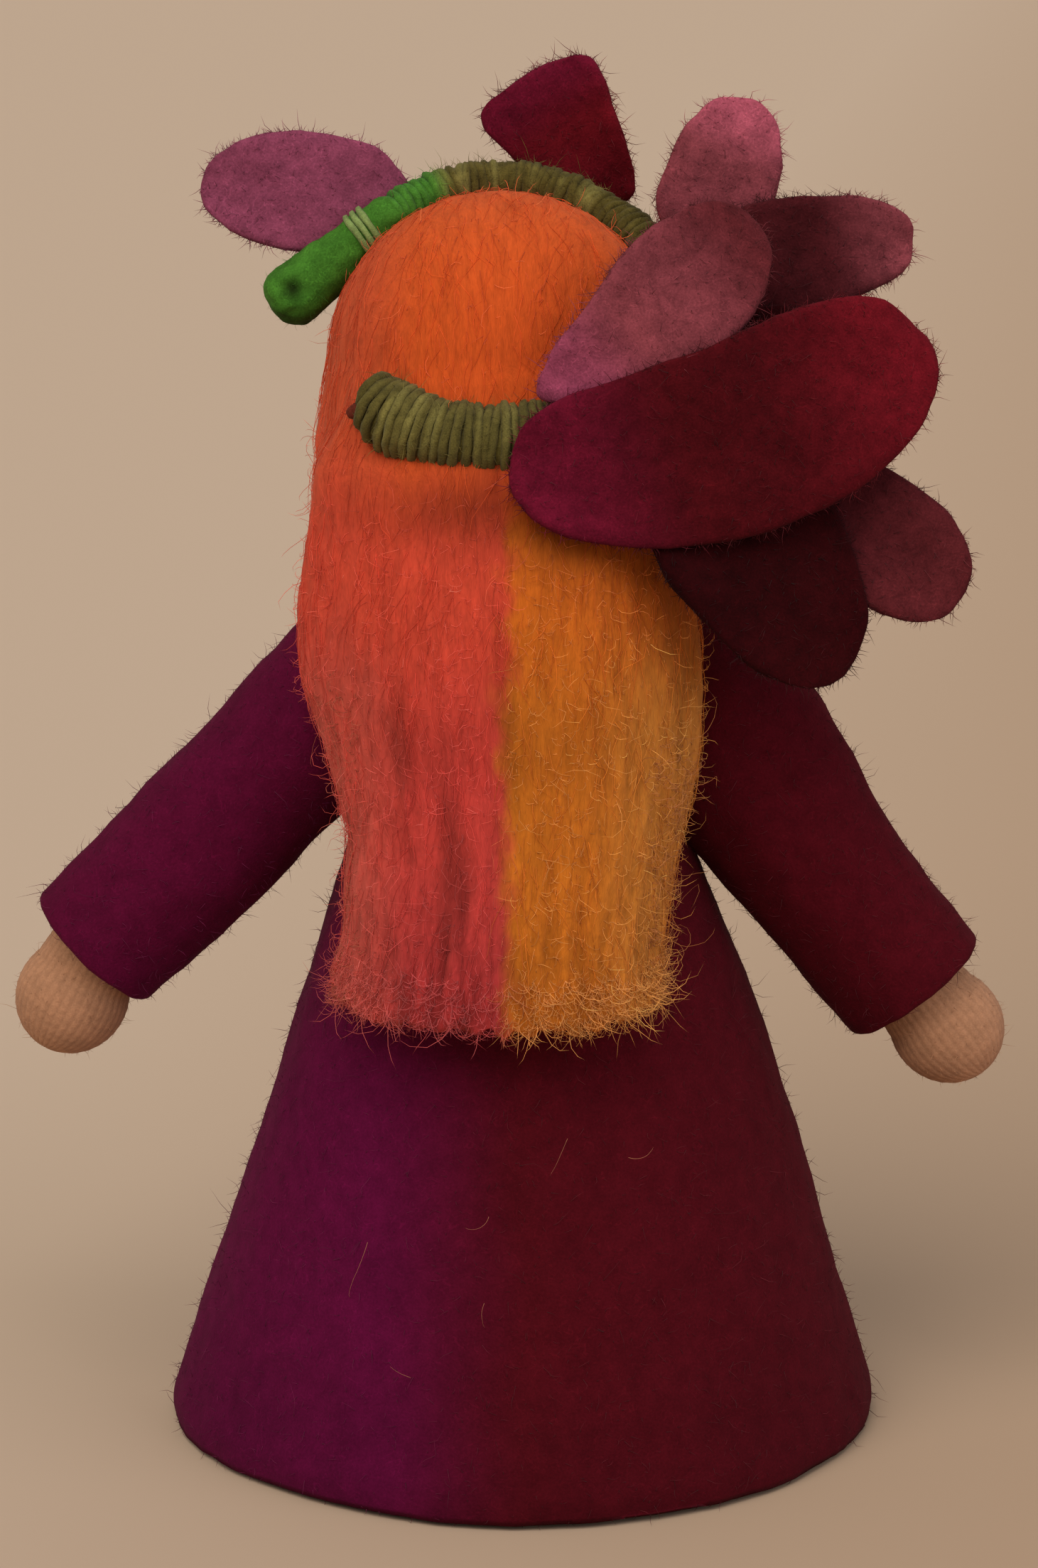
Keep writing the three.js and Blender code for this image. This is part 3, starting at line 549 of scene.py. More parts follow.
def felt_wall(outer, inner):
    """The dress's wall: outer face up, round the top edge, inner face down, round the bottom edge."""
    low, high = outer[0], outer[-1]
    turn = np.linspace(0, math.pi, 7)[1:-1]
    top = [(high + FELT / 2 * math.sin(a) * 0.8, FELT / 2 * (1 - math.cos(a))) for a in turn]
    bottom = [(low + FELT / 2 * (1 - math.sin(a)) * 0.8, FELT / 2 * (1 + math.cos(a))) for a in turn]
    profile = [(z, 0) for z in outer] + top + [(z, FELT) for z in inner] + bottom
    return dress_rows([p[0] for p in profile], [p[1] for p in profile], DRESS_SIDES)


def plum_tint(points):
    """Plum felt, a little more violet towards the doll's left as painted cool light."""
    x, z = points[:, 0], points[:, 2]
    # painted cool light: the violet share stands in for a cool lamp on the doll's left, weaker higher up
    violet = smooth(-1, 13, x + 1.2 * lumps(points, 9, 3)) * (1 - 0.35 * smooth(30, 46, z))
    # random patches, and a little darker towards the hem
    patch = 1 + 0.08 * lumps(points, 6, 6) + 0.05 * lumps(points, 1.6, 7) - 0.12 * smooth(16, 3, z)
    return mix(PLUM_WINE, PLUM_VIOLET, violet) * patch[:, None]


def plum_fuzz_tint(points):
    # painted cool light: the fuzz turns violet towards the doll's left, like the felt
    return mix(PLUM_WINE, PLUM_VIOLET, smooth(-1, 13, points[:, 0])) * 1.3 + 0.008


def outside_dress(roots, away):
    middle = HEAD[0] * smooth(LEAN_START, DRESS_HEIGHT, roots[:, 2])
    radial = np.hypot(roots[:, 0] - middle, roots[:, 1])
    return (radial > dress_radius(roots[:, 2]) * DRESS_DEPTH - 1.7) & (away[:, 2] > -0.8)


def add_dress():
    outer = list(np.linspace(0.5, 4, 8)) + list(np.linspace(4.8, DRESS_HEIGHT - 0.5, 84))
    inner = list(np.linspace(DRESS_HEIGHT - 0.5, 0.5, 22))
    layers = [(11, 0.3), (3.2, 0.14), (0.9, 0.06)]
    points, parts = rough_loft(felt_wall(outer, inner), layers, looped=True)
    points[:, 2] = np.maximum(points[:, 2], 0)
    dress = add_piece("felt_dress", points, parts, plum_tint(points), felt, "felt_plum", "torso",
                      ["dress_cone"])
    dress_fuzz = add_fuzz("dress_fuzz", points, parts, plum_fuzz_tint, 0.95, "torso", "felt_plum",
                          keep=outside_dress)

    angle = turn_angles(BASE_SIDES)
    edge = [(0.0, 0.6), (0.15, 0.2), (0.6, 0.0), (1.4, 0.0), (1.85, 0.2), (2.0, 0.6)]
    reach = dress_radius(HEM_ROLL_HEIGHT) - FELT - HEM_ROLL - 0.3
    reach = reach + np.minimum(dress_bulge(0, angle), 0)
    rows = [np.stack([(reach - inset) * np.cos(angle), (reach - inset) * DRESS_DEPTH * np.sin(angle),
                      np.full(BASE_SIDES, z)], axis=-1) for z, inset in edge]
    base = add_piece("base_felt", *loft(rows), BASE_PLUM, felt, "felt_base", "torso", ["base_disc"])


add_dress()


# Arms
def limb_rows(start, way, distances, radii, sides, thin=1.0):
    """Rings about a straight axis; thin is the depth of a ring as a share of its width."""
    up = np.array([0.0, 1.0, 0.0])
    side = np.cross(way, up)
    angle = turn_angles(sides)
    circle = thin * np.cos(angle)[:, None] * up + np.sin(angle)[:, None] * side
    return [start + way * s + r * circle for s, r in zip(distances, radii)]


def knit_height(around, along):
    """Relief of plain knit, from 0 to 1: ribs of small V stitches."""
    share = around / WALE - np.floor(around / WALE)
    tilt = along / COURSE + 1.3 * np.abs(share - 0.5)
    return np.sin(math.pi * share) ** 0.7 * (0.72 + 0.28 * np.cos(2 * math.pi * tilt))


def hand_radius(s):
    middle = HAND_WIDTH / 2 * math.sqrt(max(0, 1 - ((s - HAND_REACH) / (HAND_LENGTH / 2)) ** 2))
    return middle if s > HAND_REACH else max(middle, WRIST_RADIUS + WRIST_FLARE * (s - HAND_START))


def add_sleeve(side, shoulder, way, length):
    arm, cuff = f"{side}_arm", CUFF_RADIUS[side] - FUZZ_ROOM
    start = SLEEVE_START - FUZZ_ROOM
    cap = np.radians(np.linspace(-86, -4, 14))
    down = np.linspace(0, length - 0.5, 46)
    edge = np.linspace(0, math.pi, 7)[1:-1]
    inner = np.linspace(length - 0.5, 8, 18)
    tube = start + (cuff - start) * down / length - SLEEVE_CREASE * bell(down, CREASE_AT, CREASE_HALF)
    distances = [start * math.sin(a) for a in cap] + list(down)
    radii = [start * math.cos(a) for a in cap] + list(tube)
    distances += [length - 0.5 + 0.5 * math.sin(a) for a in edge] + list(inner)
    radii += [cuff - FELT / 2 * (1 - math.cos(a)) for a in edge]
    radii += [start + (cuff - start) * s / length - FELT for s in inner]
    rows = np.array(limb_rows(shoulder, way, distances, radii, 96))
    upper = unit([math.copysign(abs(way[2]), way[0]), 0, abs(way[0])])
    near = bell(np.array(distances), SHOULDER_AT, SHOULDER_SPAN)[:, None]
    height = (rows - shoulder) @ upper
    above, below = SHOULDER_SWELL[side]
    rows += (near * np.where(height > 0, above, below) * height)[..., None] * upper
    points, parts = rough_loft(rows, [(7, 0.28), (2.5, 0.14), (0.9, 0.05)])
    sleeve = add_piece(f"felt_sleeve_{side}", points, parts, plum_tint(points), felt, "felt_plum", arm,
                       [f"sleeve_{side}"])

    def outside(roots, away):
        off = roots - shoulder
        return (np.linalg.norm(off - np.outer(off @ way, way), axis=1) > cuff - 0.8) | (off @ way < 4)

    sleeve_fuzz = add_fuzz(f"sleeve_fuzz_{side}", points, parts, plum_fuzz_tint, 1.5, arm, "felt_plum",
                           keep=outside)


def add_hand(side, wrist, way):
    sign = 1 if side == "left" else -1
    droop = math.atan2(-way[2], abs(way[0])) + math.radians(HAND_DROOP[side])
    hand_way = np.array([sign * math.cos(droop), 0, -math.sin(droop)])
    bend = np.linspace(0, math.pi / 2, 46)
    rounded = HAND_REACH + HAND_LENGTH / 2 * np.sin(bend[:-1])
    distances = np.concatenate([np.linspace(HAND_START, HAND_REACH, 46)[:-1], rounded])
    distances = np.minimum(distances, HAND_REACH + HAND_LENGTH / 2 - 0.004)
    radii = [hand_radius(s) for s in distances]
    sides, ribs = 190, 38
    rows = np.array(limb_rows(wrist, hand_way, distances, radii, sides, HAND_THICKNESS / HAND_WIDTH))
    around = np.arange(sides) / sides * ribs
    relief = np.array([knit_height(around, s) * smooth(0, 1.5, r) for s, r in zip(distances, radii)])
    points, parts = loft(rows)
    parts = outward(points, parts)
    stitches = np.append(relief.ravel(), [0, 0])
    points = points + point_normals(points, parts) * (0.065 * (stitches - 0.6))[:, None]
    # painted shade: the knit is darker in the grooves between the stitches
    tint = mix(SKIN * 0.84, SKIN, np.clip(stitches, 0, 1)) * (1 + 0.12 * lumps(points, 2.4, 2))[:, None]
    hand = add_piece(f"knit_hand_{side}", points, parts, tint, knit, "skin_knit", f"{side}_hand",
                     [f"hand_{side}"])
    add_fuzz(f"hand_fuzz_{side}", points, parts, SKIN, 1.6, f"{side}_hand", "skin_knit", length=0.6,
             radius=0.018)


def add_arm(side):
    shoulder, wrist = joint_place(f"{side}_arm_raise"), joint_place(f"{side}_hand_bend")
    way = unit(wrist - shoulder)
    length = np.linalg.norm(wrist - shoulder) + CUFF_PAST_WRIST
    add_sleeve(side, shoulder, way, length)
    turns = np.radians(np.linspace(-86, 86, 20))
    ball = limb_rows(shoulder, way, PUFF_RADIUS * np.sin(turns), PUFF_RADIUS * np.cos(turns), 32)
    points, parts = rough_loft(ball, [(2.5, 0.2)])
    puff = add_piece(f"shoulder_wool_{side}", points, parts, STUFFING, stuffing_wool,
                     "wool_stuffing", f"{side}_shoulder", [f"shoulder_puff_{side}"])
    reach = np.linspace(PADDING_START, length - PADDING_SHORT, 20)
    radii = np.concatenate([[1.0, 2.6], np.full(16, PADDING_RADIUS), [2.6, 1.0]])
    points, parts = rough_loft(limb_rows(shoulder, way, reach, radii, 32), [(3, 0.12)])
    padding = add_piece(f"arm_padding_{side}", points, parts, SKIN, knit, "skin_knit",
                        f"{side}_arm", [f"arm_core_{side}"])
    add_hand(side, wrist, way)


for side in ("left", "right"):
    add_arm(side)


# Head
HEAD_RADIUS = 11.4
EYE_SPREAD, EYE_DROP = 3.7, 1.6
MOUTH_DROP = 5.4
NECK_LOW, NECK_HIGH, NECK_KNIT_RADIUS = 71.3, 81.5, 5.5
TIE_HEIGHT, TIE_CINCH, TIE_HALF = 77.2, 0.45, 0.8
TIE_THREAD_LOW, TIE_THREAD_RISE, TIE_THREAD_REACH = 76.6, 1.2, 5.55


def head_shape(directions):
    """How far the face stands off the head's centre, for directions from it."""
    x, z = directions[:, 0], directions[:, 2]
    front = smooth(0.1, 0.7, -directions[:, 1])
    eye_line = -0.35 * bell(z, -0.13, 0.1)
    nose = 0.55 * np.exp(-((x / 0.09) ** 2) - ((z + 0.27) / 0.1) ** 2)
    cheeks = 0.3 * np.exp(-(((np.abs(x) - 0.42) / 0.22) ** 2) - ((z + 0.42) / 0.2) ** 2)
    return HEAD_RADIUS + front * (eye_line + nose + cheeks)


def face_point(x, z, off):
    """The place that far off the face, across and up from the head's centre."""
    direction = np.array([x, -math.sqrt(HEAD_RADIUS ** 2 - x * x - z * z), z]) / HEAD_RADIUS
    return HEAD + direction * (head_shape(direction[None])[0] + off)


def add_threads(name, paths, radius, colour, slot, nodes):
    strands = merge([yarn_tube(path, radius, 8, 3.0) for path in paths])
    add_piece(name, *strands, colour, thread, slot, "head", nodes)


def add_head():
    sides = 200
    angle = turn_angles(sides)
    rows, relief, blush = [], [], []
    for a in np.linspace(0.02, math.pi - 0.02, 84):
        way = np.stack([np.sin(a) * np.cos(angle), np.sin(a) * np.sin(angle), np.full(sides, -np.cos(a))],
                       axis=-1)
        stitch = knit_height(angle * 9.6, np.full(sides, a * HEAD_RADIUS)) * math.sin(a)
        rows.append(HEAD + way * (head_shape(way) + 0.05 * (stitch - 0.6))[:, None])
        relief.append(stitch)
        cheek = np.exp(-(((np.abs(way[:, 0]) - 0.47) / 0.16) ** 2) - ((way[:, 2] + 0.36) / 0.14) ** 2)
        blush.append(cheek * (way[:, 1] < 0))
    points, parts = loft(rows)
    stitches = np.append(np.concatenate(relief), [0, 0])
    warm = np.append(np.concatenate(blush), [0, 0])
    # painted shade: the knit is darker in the grooves between the stitches
    tint = mix(mix(SKIN * 0.84, SKIN, stitches), BLUSH, 0.5 * warm)
    add_piece("knit_head", points, parts, tint, knit, "skin_knit", "head", ["head_ball"])

    angle = turn_angles(120)
    ribs = 0.06 * np.cos(angle * 20)
    heights = np.linspace(NECK_LOW, NECK_HIGH, 44)
    cinch = NECK_KNIT_RADIUS - TIE_CINCH * bell(heights, TIE_HEIGHT, TIE_HALF)
    rows = [np.stack([HEAD[0] + (r + ribs) * np.cos(angle), (r + ribs) * np.sin(angle), np.full(120, z)],
                     axis=-1) for z, r in zip(heights, cinch)]
    neck = add_piece("knit_neck", *loft(rows), SKIN * 0.95, knit, "skin_knit", "head")

    turns = np.linspace(0, 2 * math.pi * 3, 3 * 40)
    coil = [HEAD[0] + TIE_THREAD_REACH * np.cos(turns), TIE_THREAD_REACH * np.sin(turns),
            TIE_THREAD_LOW + TIE_THREAD_RISE * turns / turns[-1]]
    add_threads("neck_thread", [np.stack(coil, axis=-1)], 0.24, THREAD_CREAM, "thread_cream", ["neck_tie"])

    for name, sign in (("left", 1), ("right", -1)):
        eye = []
        for k in range(5):
            x = sign * EYE_SPREAD + 0.26 * (k - 2)
            tall = 0.78 - 0.13 * abs(k - 2)
            arc = [face_point(x, -EYE_DROP + tall * t, 0.16 * (1 - t * t)) for t in np.linspace(-1, 1, 9)]
            eye.append(arc)
        add_threads(f"eye_stitches_{name}", eye, 0.15, THREAD_DARK, "thread_dark", [f"eye_{name}"])
    smile = [[face_point(x, -MOUTH_DROP + 0.09 * x * x + lift, 0.12) for x in np.linspace(-1.25, 1.25, 11)]
             for lift in (-0.14, 0.14)]
    add_threads("mouth_stitches", smile, 0.16, THREAD_RED, "thread_red", ["mouth_stitch"])


add_head()


# Hair
PARTING = 0.7
SHADE_HEIGHT, SHADE_SLOPE, SHADE_HALF = 80.5, 0.35, 3.0
HAIR_TORSO, HAIR_HEAD = np.array([0, 0, 64.0]), np.array([0, 0, 84.0])
HAIR_BODY = ("torso", "head", HAIR_TORSO, HAIR_HEAD)
HAIR_NODES = ("hair_cap", "hair_fall_left", "hair_fall_right")
NAPE_MIDDLE = np.array([1.0, 2.0])
NAPE_ROWS = [(79.0, 1.06), (81.0, 1.06), (82.6, 1.05), (83.6, 1.03), (84.5, 0.98), (86.0, 0.92), (88.0, 0.86),
             (91.0, 0.8)]
NAPE_INSET = 0.25
STRANDS, WISPS, CURLS, ENDS = 3200, 13000, 9000, 2800


def node_shape(name):
    """A CAD node's points in millimetres and its triangles."""
    mesh = frame["nodes"][name].data
    mesh.calc_loop_triangles()
    points = np.zeros(len(mesh.vertices) * 3)
    mesh.vertices.foreach_get("co", points)
    triangles = np.zeros(len(mesh.loop_triangles) * 3, int)
    mesh.loop_triangles.foreach_get("vertices", triangles)
    return points.reshape(-1, 3) / MM, [triangles.reshape(-1, 3)]


def remeshed(shape, grow, voxel, rounds):
    """The shape as one even, softened surface of quads."""
    points, parts = shape
    made = make_object("remesh_work", points, parts)
    weld = made.modifiers.new("weld", "WELD")
    weld.merge_threshold = 0.001 * MM
    swell = made.modifiers.new("swell", "DISPLACE")
    swell.strength, swell.mid_level = grow * MM, 0
    remesh = made.modifiers.new("remesh", "REMESH")
    remesh.mode, remesh.voxel_size = "VOXEL", voxel * MM
    soften = made.modifiers.new("soften", "SMOOTH")
    soften.factor, soften.iterations = 0.5, rounds
    ready = made.evaluated_get(bpy.context.evaluated_depsgraph_get()).to_mesh()
    places = np.zeros(len(ready.vertices) * 3)
    ready.vertices.foreach_get("co", places)
    quads = np.zeros(len(ready.loops), int)
    ready.loops.foreach_get("vertex_index", quads)
    bpy.data.objects.remove(made)
    return places.reshape(-1, 3) / MM, [quads.reshape(-1, 4)]


def nape_shape():
    """Wool that joins the cap to the falls: the outline of their tops, drawn in towards the cap."""
    tops = np.concatenate([node_shape(name)[0] for name in HAIR_NODES[1:]])
    tops = tops[(tops[:, 2] > tops[:, 2].max() - 0.1) & (tops[:, 1] > 9.2)]
    off = tops[:, :2] - NAPE_MIDDLE
    off = off[np.argsort(np.arctan2(off[:, 1], off[:, 0]))]
    off = np.vstack([[off[0, 0], 0], off, [off[-1, 0], 0]])
    run = np.concatenate([[0], np.cumsum(np.linalg.norm(np.diff(off, axis=0), axis=1))])
    even = np.linspace(0, run[-1], 44)
    arc = np.stack([np.interp(even, run, off[:, k]) for k in (0, 1)], axis=-1)
    rows = []
    for z, share in NAPE_ROWS:
        loop = NAPE_MIDDLE + np.concatenate([arc * share, (arc * (share - NAPE_INSET))[::-1]])
        rows.append(np.c_[loop, np.full(len(loop), z)])
    return loft(rows)


def hair_flow(points, away):
    """The way the wool is combed: back over the head, then down."""
    over = np.stack([np.zeros(len(away)), away[:, 2], -away[:, 1]], axis=-1)
    over[:, 2] -= 2.5 * away[:, 0] ** 2
    down = np.array([0, 0.1, -1.0])
    way = mix(over, down, 1 - smooth(80, 90, points[:, 2]))
    way -= away * np.sum(way * away, axis=1, keepdims=True)
    return unit(way)


def hair_tint(points):
    x, y, z = points.T
    wander = 0.25 * lumps(points * [1, 1, 0.3], 3, 9)
    low = z + wander * 6
    left = mix(mix(HAIR_DEEP_ROSE, HAIR_ROSE, smooth(42, 58, low)), HAIR_RED, smooth(58, 76, low))
    dome = mix(HAIR_ORANGE, HAIR_SIDE, smooth(7, 13, x) + smooth(7, 13, -x) * 0.5)
    left = mix(left, dome, smooth(77, 88, low))
    right = mix(mix(HAIR_GOLD * 0.85, HAIR_GOLD, smooth(42, 50, low)), HAIR_AMBER, smooth(62, 76, low))
    right = mix(right, dome, smooth(78, 82, low))
    below = 1 - smooth(62, 74, low)
    streak = below * smooth(0.05, 0.5, lumps(points * [1, 1, 0.13], 2.2, 21))
    # painted side light: the lower falls turn paler rose and gold towards their outer edges
    left = mix(left * (1 - 0.34 * streak)[:, None], HAIR_PALE_ROSE, 0.5 * below * smooth(8, 13, x))
    right = mix(right * (1 - 0.24 * streak)[:, None], HAIR_PALE_GOLD, 0.5 * below * smooth(5, 11, -x))
    stray = 0.9 * lumps(points * [1, 1, 0.5], 1.1, 12) + 0.7 * lumps(points * [1, 1, 0.4], 5, 13)
    tint = mix(right, left, smooth(-0.9, 0.9, x - PARTING - wander * 2 - 1.2 * stray))
    off_shade = z - SHADE_HEIGHT - SHADE_SLOPE * np.minimum(x, 3)
    shaded = bell(off_shade, 0, SHADE_HALF) * smooth(9, 2, -y)
    return tint * (0.95 - 0.42 * shaded * smooth(13, 3, x) * smooth(-11, -3, x))[:, None]


def wisp_tint(points, gain, pale):
    """The loose fibres, lighter than the wool they leave and yellower on the right."""
    tint = hair_tint(points) * gain + pale
    right = smooth(0.5, -0.5, points[:, 0] - PARTING)
    return mix(tint, WISP_GOLD, 0.3 * right * smooth(80, 66, points[:, 2]))


def comb_place(points, away):
    """Coordinates that run slowly along the strands and fast across them."""
    x, y, z = points.T
    over_head = np.arctan2(y, z - HEAD[2]) * 12
    along = np.where(z > HEAD[2], over_head, -z + HEAD[2] + 12 * math.pi / 2)
    return np.stack([x, y * np.abs(away[:, 0]), along / 4.5], axis=-1)


def hair_relief(points, away):
    strands = comb_place(points, away)
    coarse = lumps(strands, 1.6, 3)
    fine = lumps(strands, 0.45, 4)
    loose = 0.35 + 0.35 * (1 - smooth(76, 86, points[:, 2])) + 0.6 * (1 - smooth(44, 62, points[:, 2]))
    return loose * (0.2 * coarse + 0.16 * fine)


def add_hair():
    points, parts = remeshed(merge([node_shape(n) for n in HAIR_NODES] + [nape_shape()]), 0.3, 0.45, 15)
    x, z = points[:, 0], points[:, 2]
    drawn_in = np.where(x < PARTING, 0.09 * smooth(62, 44, z), 0.03 * smooth(50, 45, z))
    points[:, 0] -= drawn_in * (x - PARTING)
    parts = outward(points, parts)
    away = point_normals(points, parts)
    comb = comb_place(points, away)
    height = hair_relief(points, away)
    low = points[:, 2].min()
    points = points + away * height[:, None]
    points[:, 2] += 0.8 * lumps(points * [1, 0.4, 0], 0.9, 8) * (1 - smooth(low, low + 3, points[:, 2]))
    # painted shade and light: darker in the hollows of the relief, lighter on raised strands, and the
    # downward-facing undersides lifted out of their shade
    tint = hair_tint(points) * ((0.94 + 1.0 * height) * (1 + 0.6 * smooth(0.2, 0.9, -away[:, 2])))[:, None]
    hair = add_piece("wool_hair", points, parts, tint, wool, "hair_orange", HAIR_BODY, HAIR_NODES, comb=comb)
    tree = BVHTree.FromPolygons(points.tolist(), parts[0].tolist())

    def laid(count, length, steps, height, wander):
        """Fibres laid along the comb's way, a little off the surface."""
        roots, out = sample_surface(points, parts, count)
        place, path = roots, []
        reach = length * np.exp(0.3 * rng.normal(size=count)) / (steps - 1)
        off = height * rng.uniform(0.2, 1.6, count)
        turn = wander * rng.normal(size=(count, 3))
        for k in range(steps):
            found = [tree.find_nearest(Vector(p)) for p in place]
            out = np.array([f[1] for f in found])
            on = np.array([f[0] for f in found])
            path.append(on + out * (off * (0.2 + math.sin(math.pi * k / (steps - 1))))[:, None])
            turn = 0.6 * turn + wander * rng.normal(size=(count, 3))
            place = on + unit(hair_flow(on, out) + turn) * reach[:, None]
        return np.stack(path, axis=1), roots

    def add_wool(name, paths, radius, tint, spread):
        add_fibres(name, paths, radius, tint, spread, wool_fibre, "hair_orange", HAIR_BODY)

    paths, roots = laid(STRANDS, 5.0, 6, 0.18, 0.25)
    add_wool("hair_strands", paths, 0.028, hair_tint(roots) * 1.3, 0.16)

    roots, out = sample_surface(points, parts, WISPS)
    loose = 0.2 + 0.8 * (1 - smooth(76, 86, roots[:, 2]))
    keep = rng.random(len(roots)) < loose * np.where(roots[:, 1] > -4, 1, 0.5)
    roots, out = roots[keep], out[keep]
    paths = sprout(roots, out, 1.5, 0.4, 0.5, steps=5, flow=0.7 * hair_flow(roots, out))
    add_wool("hair_wisps", paths, 0.027, wisp_tint(roots, 1.45, 0.03), 0.2)

    roots, out = sample_surface(points, parts, CURLS)
    keep = (roots[:, 2] < 76) & (roots[:, 1] > 12) & (rng.random(len(roots)) < 0.5)
    roots, out = roots[keep], out[keep]
    paths = sprout(roots, out, 1.0, 0.9, 0.8, steps=4)
    add_wool("hair_curls", paths, 0.024, wisp_tint(roots, 1.6, 0.05), 0.25)

    ends = points[(points[:, 2] < low + 4) & (away[:, 2] > -0.5) & (points[:, 1] > 12)]
    roots = ends[rng.choice(len(ends), ENDS)]
    down = unit(np.broadcast_to([0, 0.35, -1.0], roots.shape))
    paths = sprout(roots, down, 1.7, 1.2, 0.4, steps=5, flow=0.8 * down)
    add_wool("hair_ends", paths, 0.03, wisp_tint(roots, 1.5, 0.05), 0.2)

    sides = (("left", points[:, 0] > 12.5, 68, 150, 2.2), ("right", points[:, 0] < -10.5, 62, 300, 3.2))
    for name, edge, top, count, length in sides:
        strip = points[edge & (points[:, 1] > 12) & (points[:, 2] < top)]
        starts = strip[rng.choice(len(strip), count)]
        ways = np.stack([np.sign(starts[:, 0]) * 0.8, np.full(count, 0.4), np.full(count, -0.7)], axis=-1)
        tint = mix(hair_tint(starts), STRAY, 0.5)
        add_strays(f"hair_strays_{name}", starts, ways, length, tint, "torso", "hair_orange", radius=0.028,
                   curl=0.5)


add_hair()


# Crown
def crown_place(across, back, up):
    """A place in the ring's own directions from its middle."""
    return RING_CENTRE + np.array([1.0, 0, 0]) * across + CROWN_BACK * back + CROWN_AXIS * up


def ring_point(degrees):
    """The middle of the yarn at that angle, from 0 at the back; the doll's left is above 0."""
    degrees = np.asarray(degrees, float)
    a = np.radians(degrees)
    front = (1 - np.cos(a)) / 2
    half_width = RING_HALF_WIDTH * (1 - RING_PINCH * front ** 2)
    curl = CURL_RISE * np.clip((degrees - RING_START) / CURL_SPAN, 0, 1) ** 2
    across, back = half_width * np.sin(a), RING_HALF_DEPTH * np.cos(a)
    return crown_place(across[..., None], back[..., None], curl[..., None])


def ring_outward(degrees):
    degrees = np.asarray(degrees, float)
    return unit(np.cross(CROWN_AXIS, ring_point(degrees + 1) - ring_point(degrees - 1)))


def band_radius(degrees):
    degrees = np.asarray(degrees, float)
    plain = BAND_RADIUS + (FRONT_BAND_RADIUS - BAND_RADIUS) * smooth(*THINNING, -degrees)
    past = np.clip((degrees - RING_START) / (CURL_SPAN + 1.5), 0, 1)
    return plain * np.sqrt(1 - past ** 2)


def wound_band(start, end):
    """A yarn wound closely round the ring between two angles, over a plain core."""
    at = np.arange(start, end, -1.0)
    run = np.linalg.norm(np.diff(ring_point(at), axis=0), axis=1).sum()
    turns = int(run / STRAND_PITCH)
    degrees = np.linspace(start, end, turns * 20 + 1)
    angle = np.linspace(0, 2 * math.pi * turns, turns * 20 + 1)
    turn = np.stack([angle / (2 * math.pi), np.zeros(len(angle)), np.zeros(len(angle))], axis=-1)
    uneven = 0.25 * lumps(turn, 5, 3) + 0.3 * lumps(turn, 0.8, 4) + BACK_SWELL * smooth(-50, -5, degrees)
    slant = 3.0 * lumps(turn, 2.0, 5)
    out = ring_outward(degrees + slant)
    radius = band_radius(degrees) - STRAND_RADIUS * 0.8 + uneven
    away = crosswise(angle, out, CROWN_AXIS)
    path = ring_point(degrees + slant * np.cos(angle)) + away * radius[:, None]
    round_core = turn_angles(20)
    rows = [ring_point(d) + (band_radius(d) - CORE_INSET) * crosswise(round_core, ring_outward(d), CROWN_AXIS)
            for d in np.linspace(start, end, 90)]
    return merge([yarn_tube(path, STRAND_RADIUS, 8, 3.0), loft(rows)])


def ring_angle(points):
    """The ring's angle beside each point, from just past its start down to its end."""
    off = points - RING_CENTRE
    degrees = np.degrees(np.arctan2(off[:, 0], off @ CROWN_BACK))
    return np.where(degrees > RING_START + 25, degrees - 360, degrees)


def band_tint(points):
    degrees = ring_angle(points)
    along = np.stack([degrees * 0.26, np.zeros(len(points)), np.zeros(len(points))], axis=-1)
    front = smooth(100, 140, -degrees)
    tone = 1 + 0.2 * lumps(along, 0.3, 5) + 0.28 * lumps(points, 1.4, 6)
    glint = smooth(0.15, 0.45, lumps(along, 0.8, 8))
    tint = mix(mix(OLIVE, OLIVE_FRONT, front), OLIVE_GLINT, 0.6 * glint)
    return mix(tint, GREEN, smooth(196, 206, -degrees)) * tone[:, None]


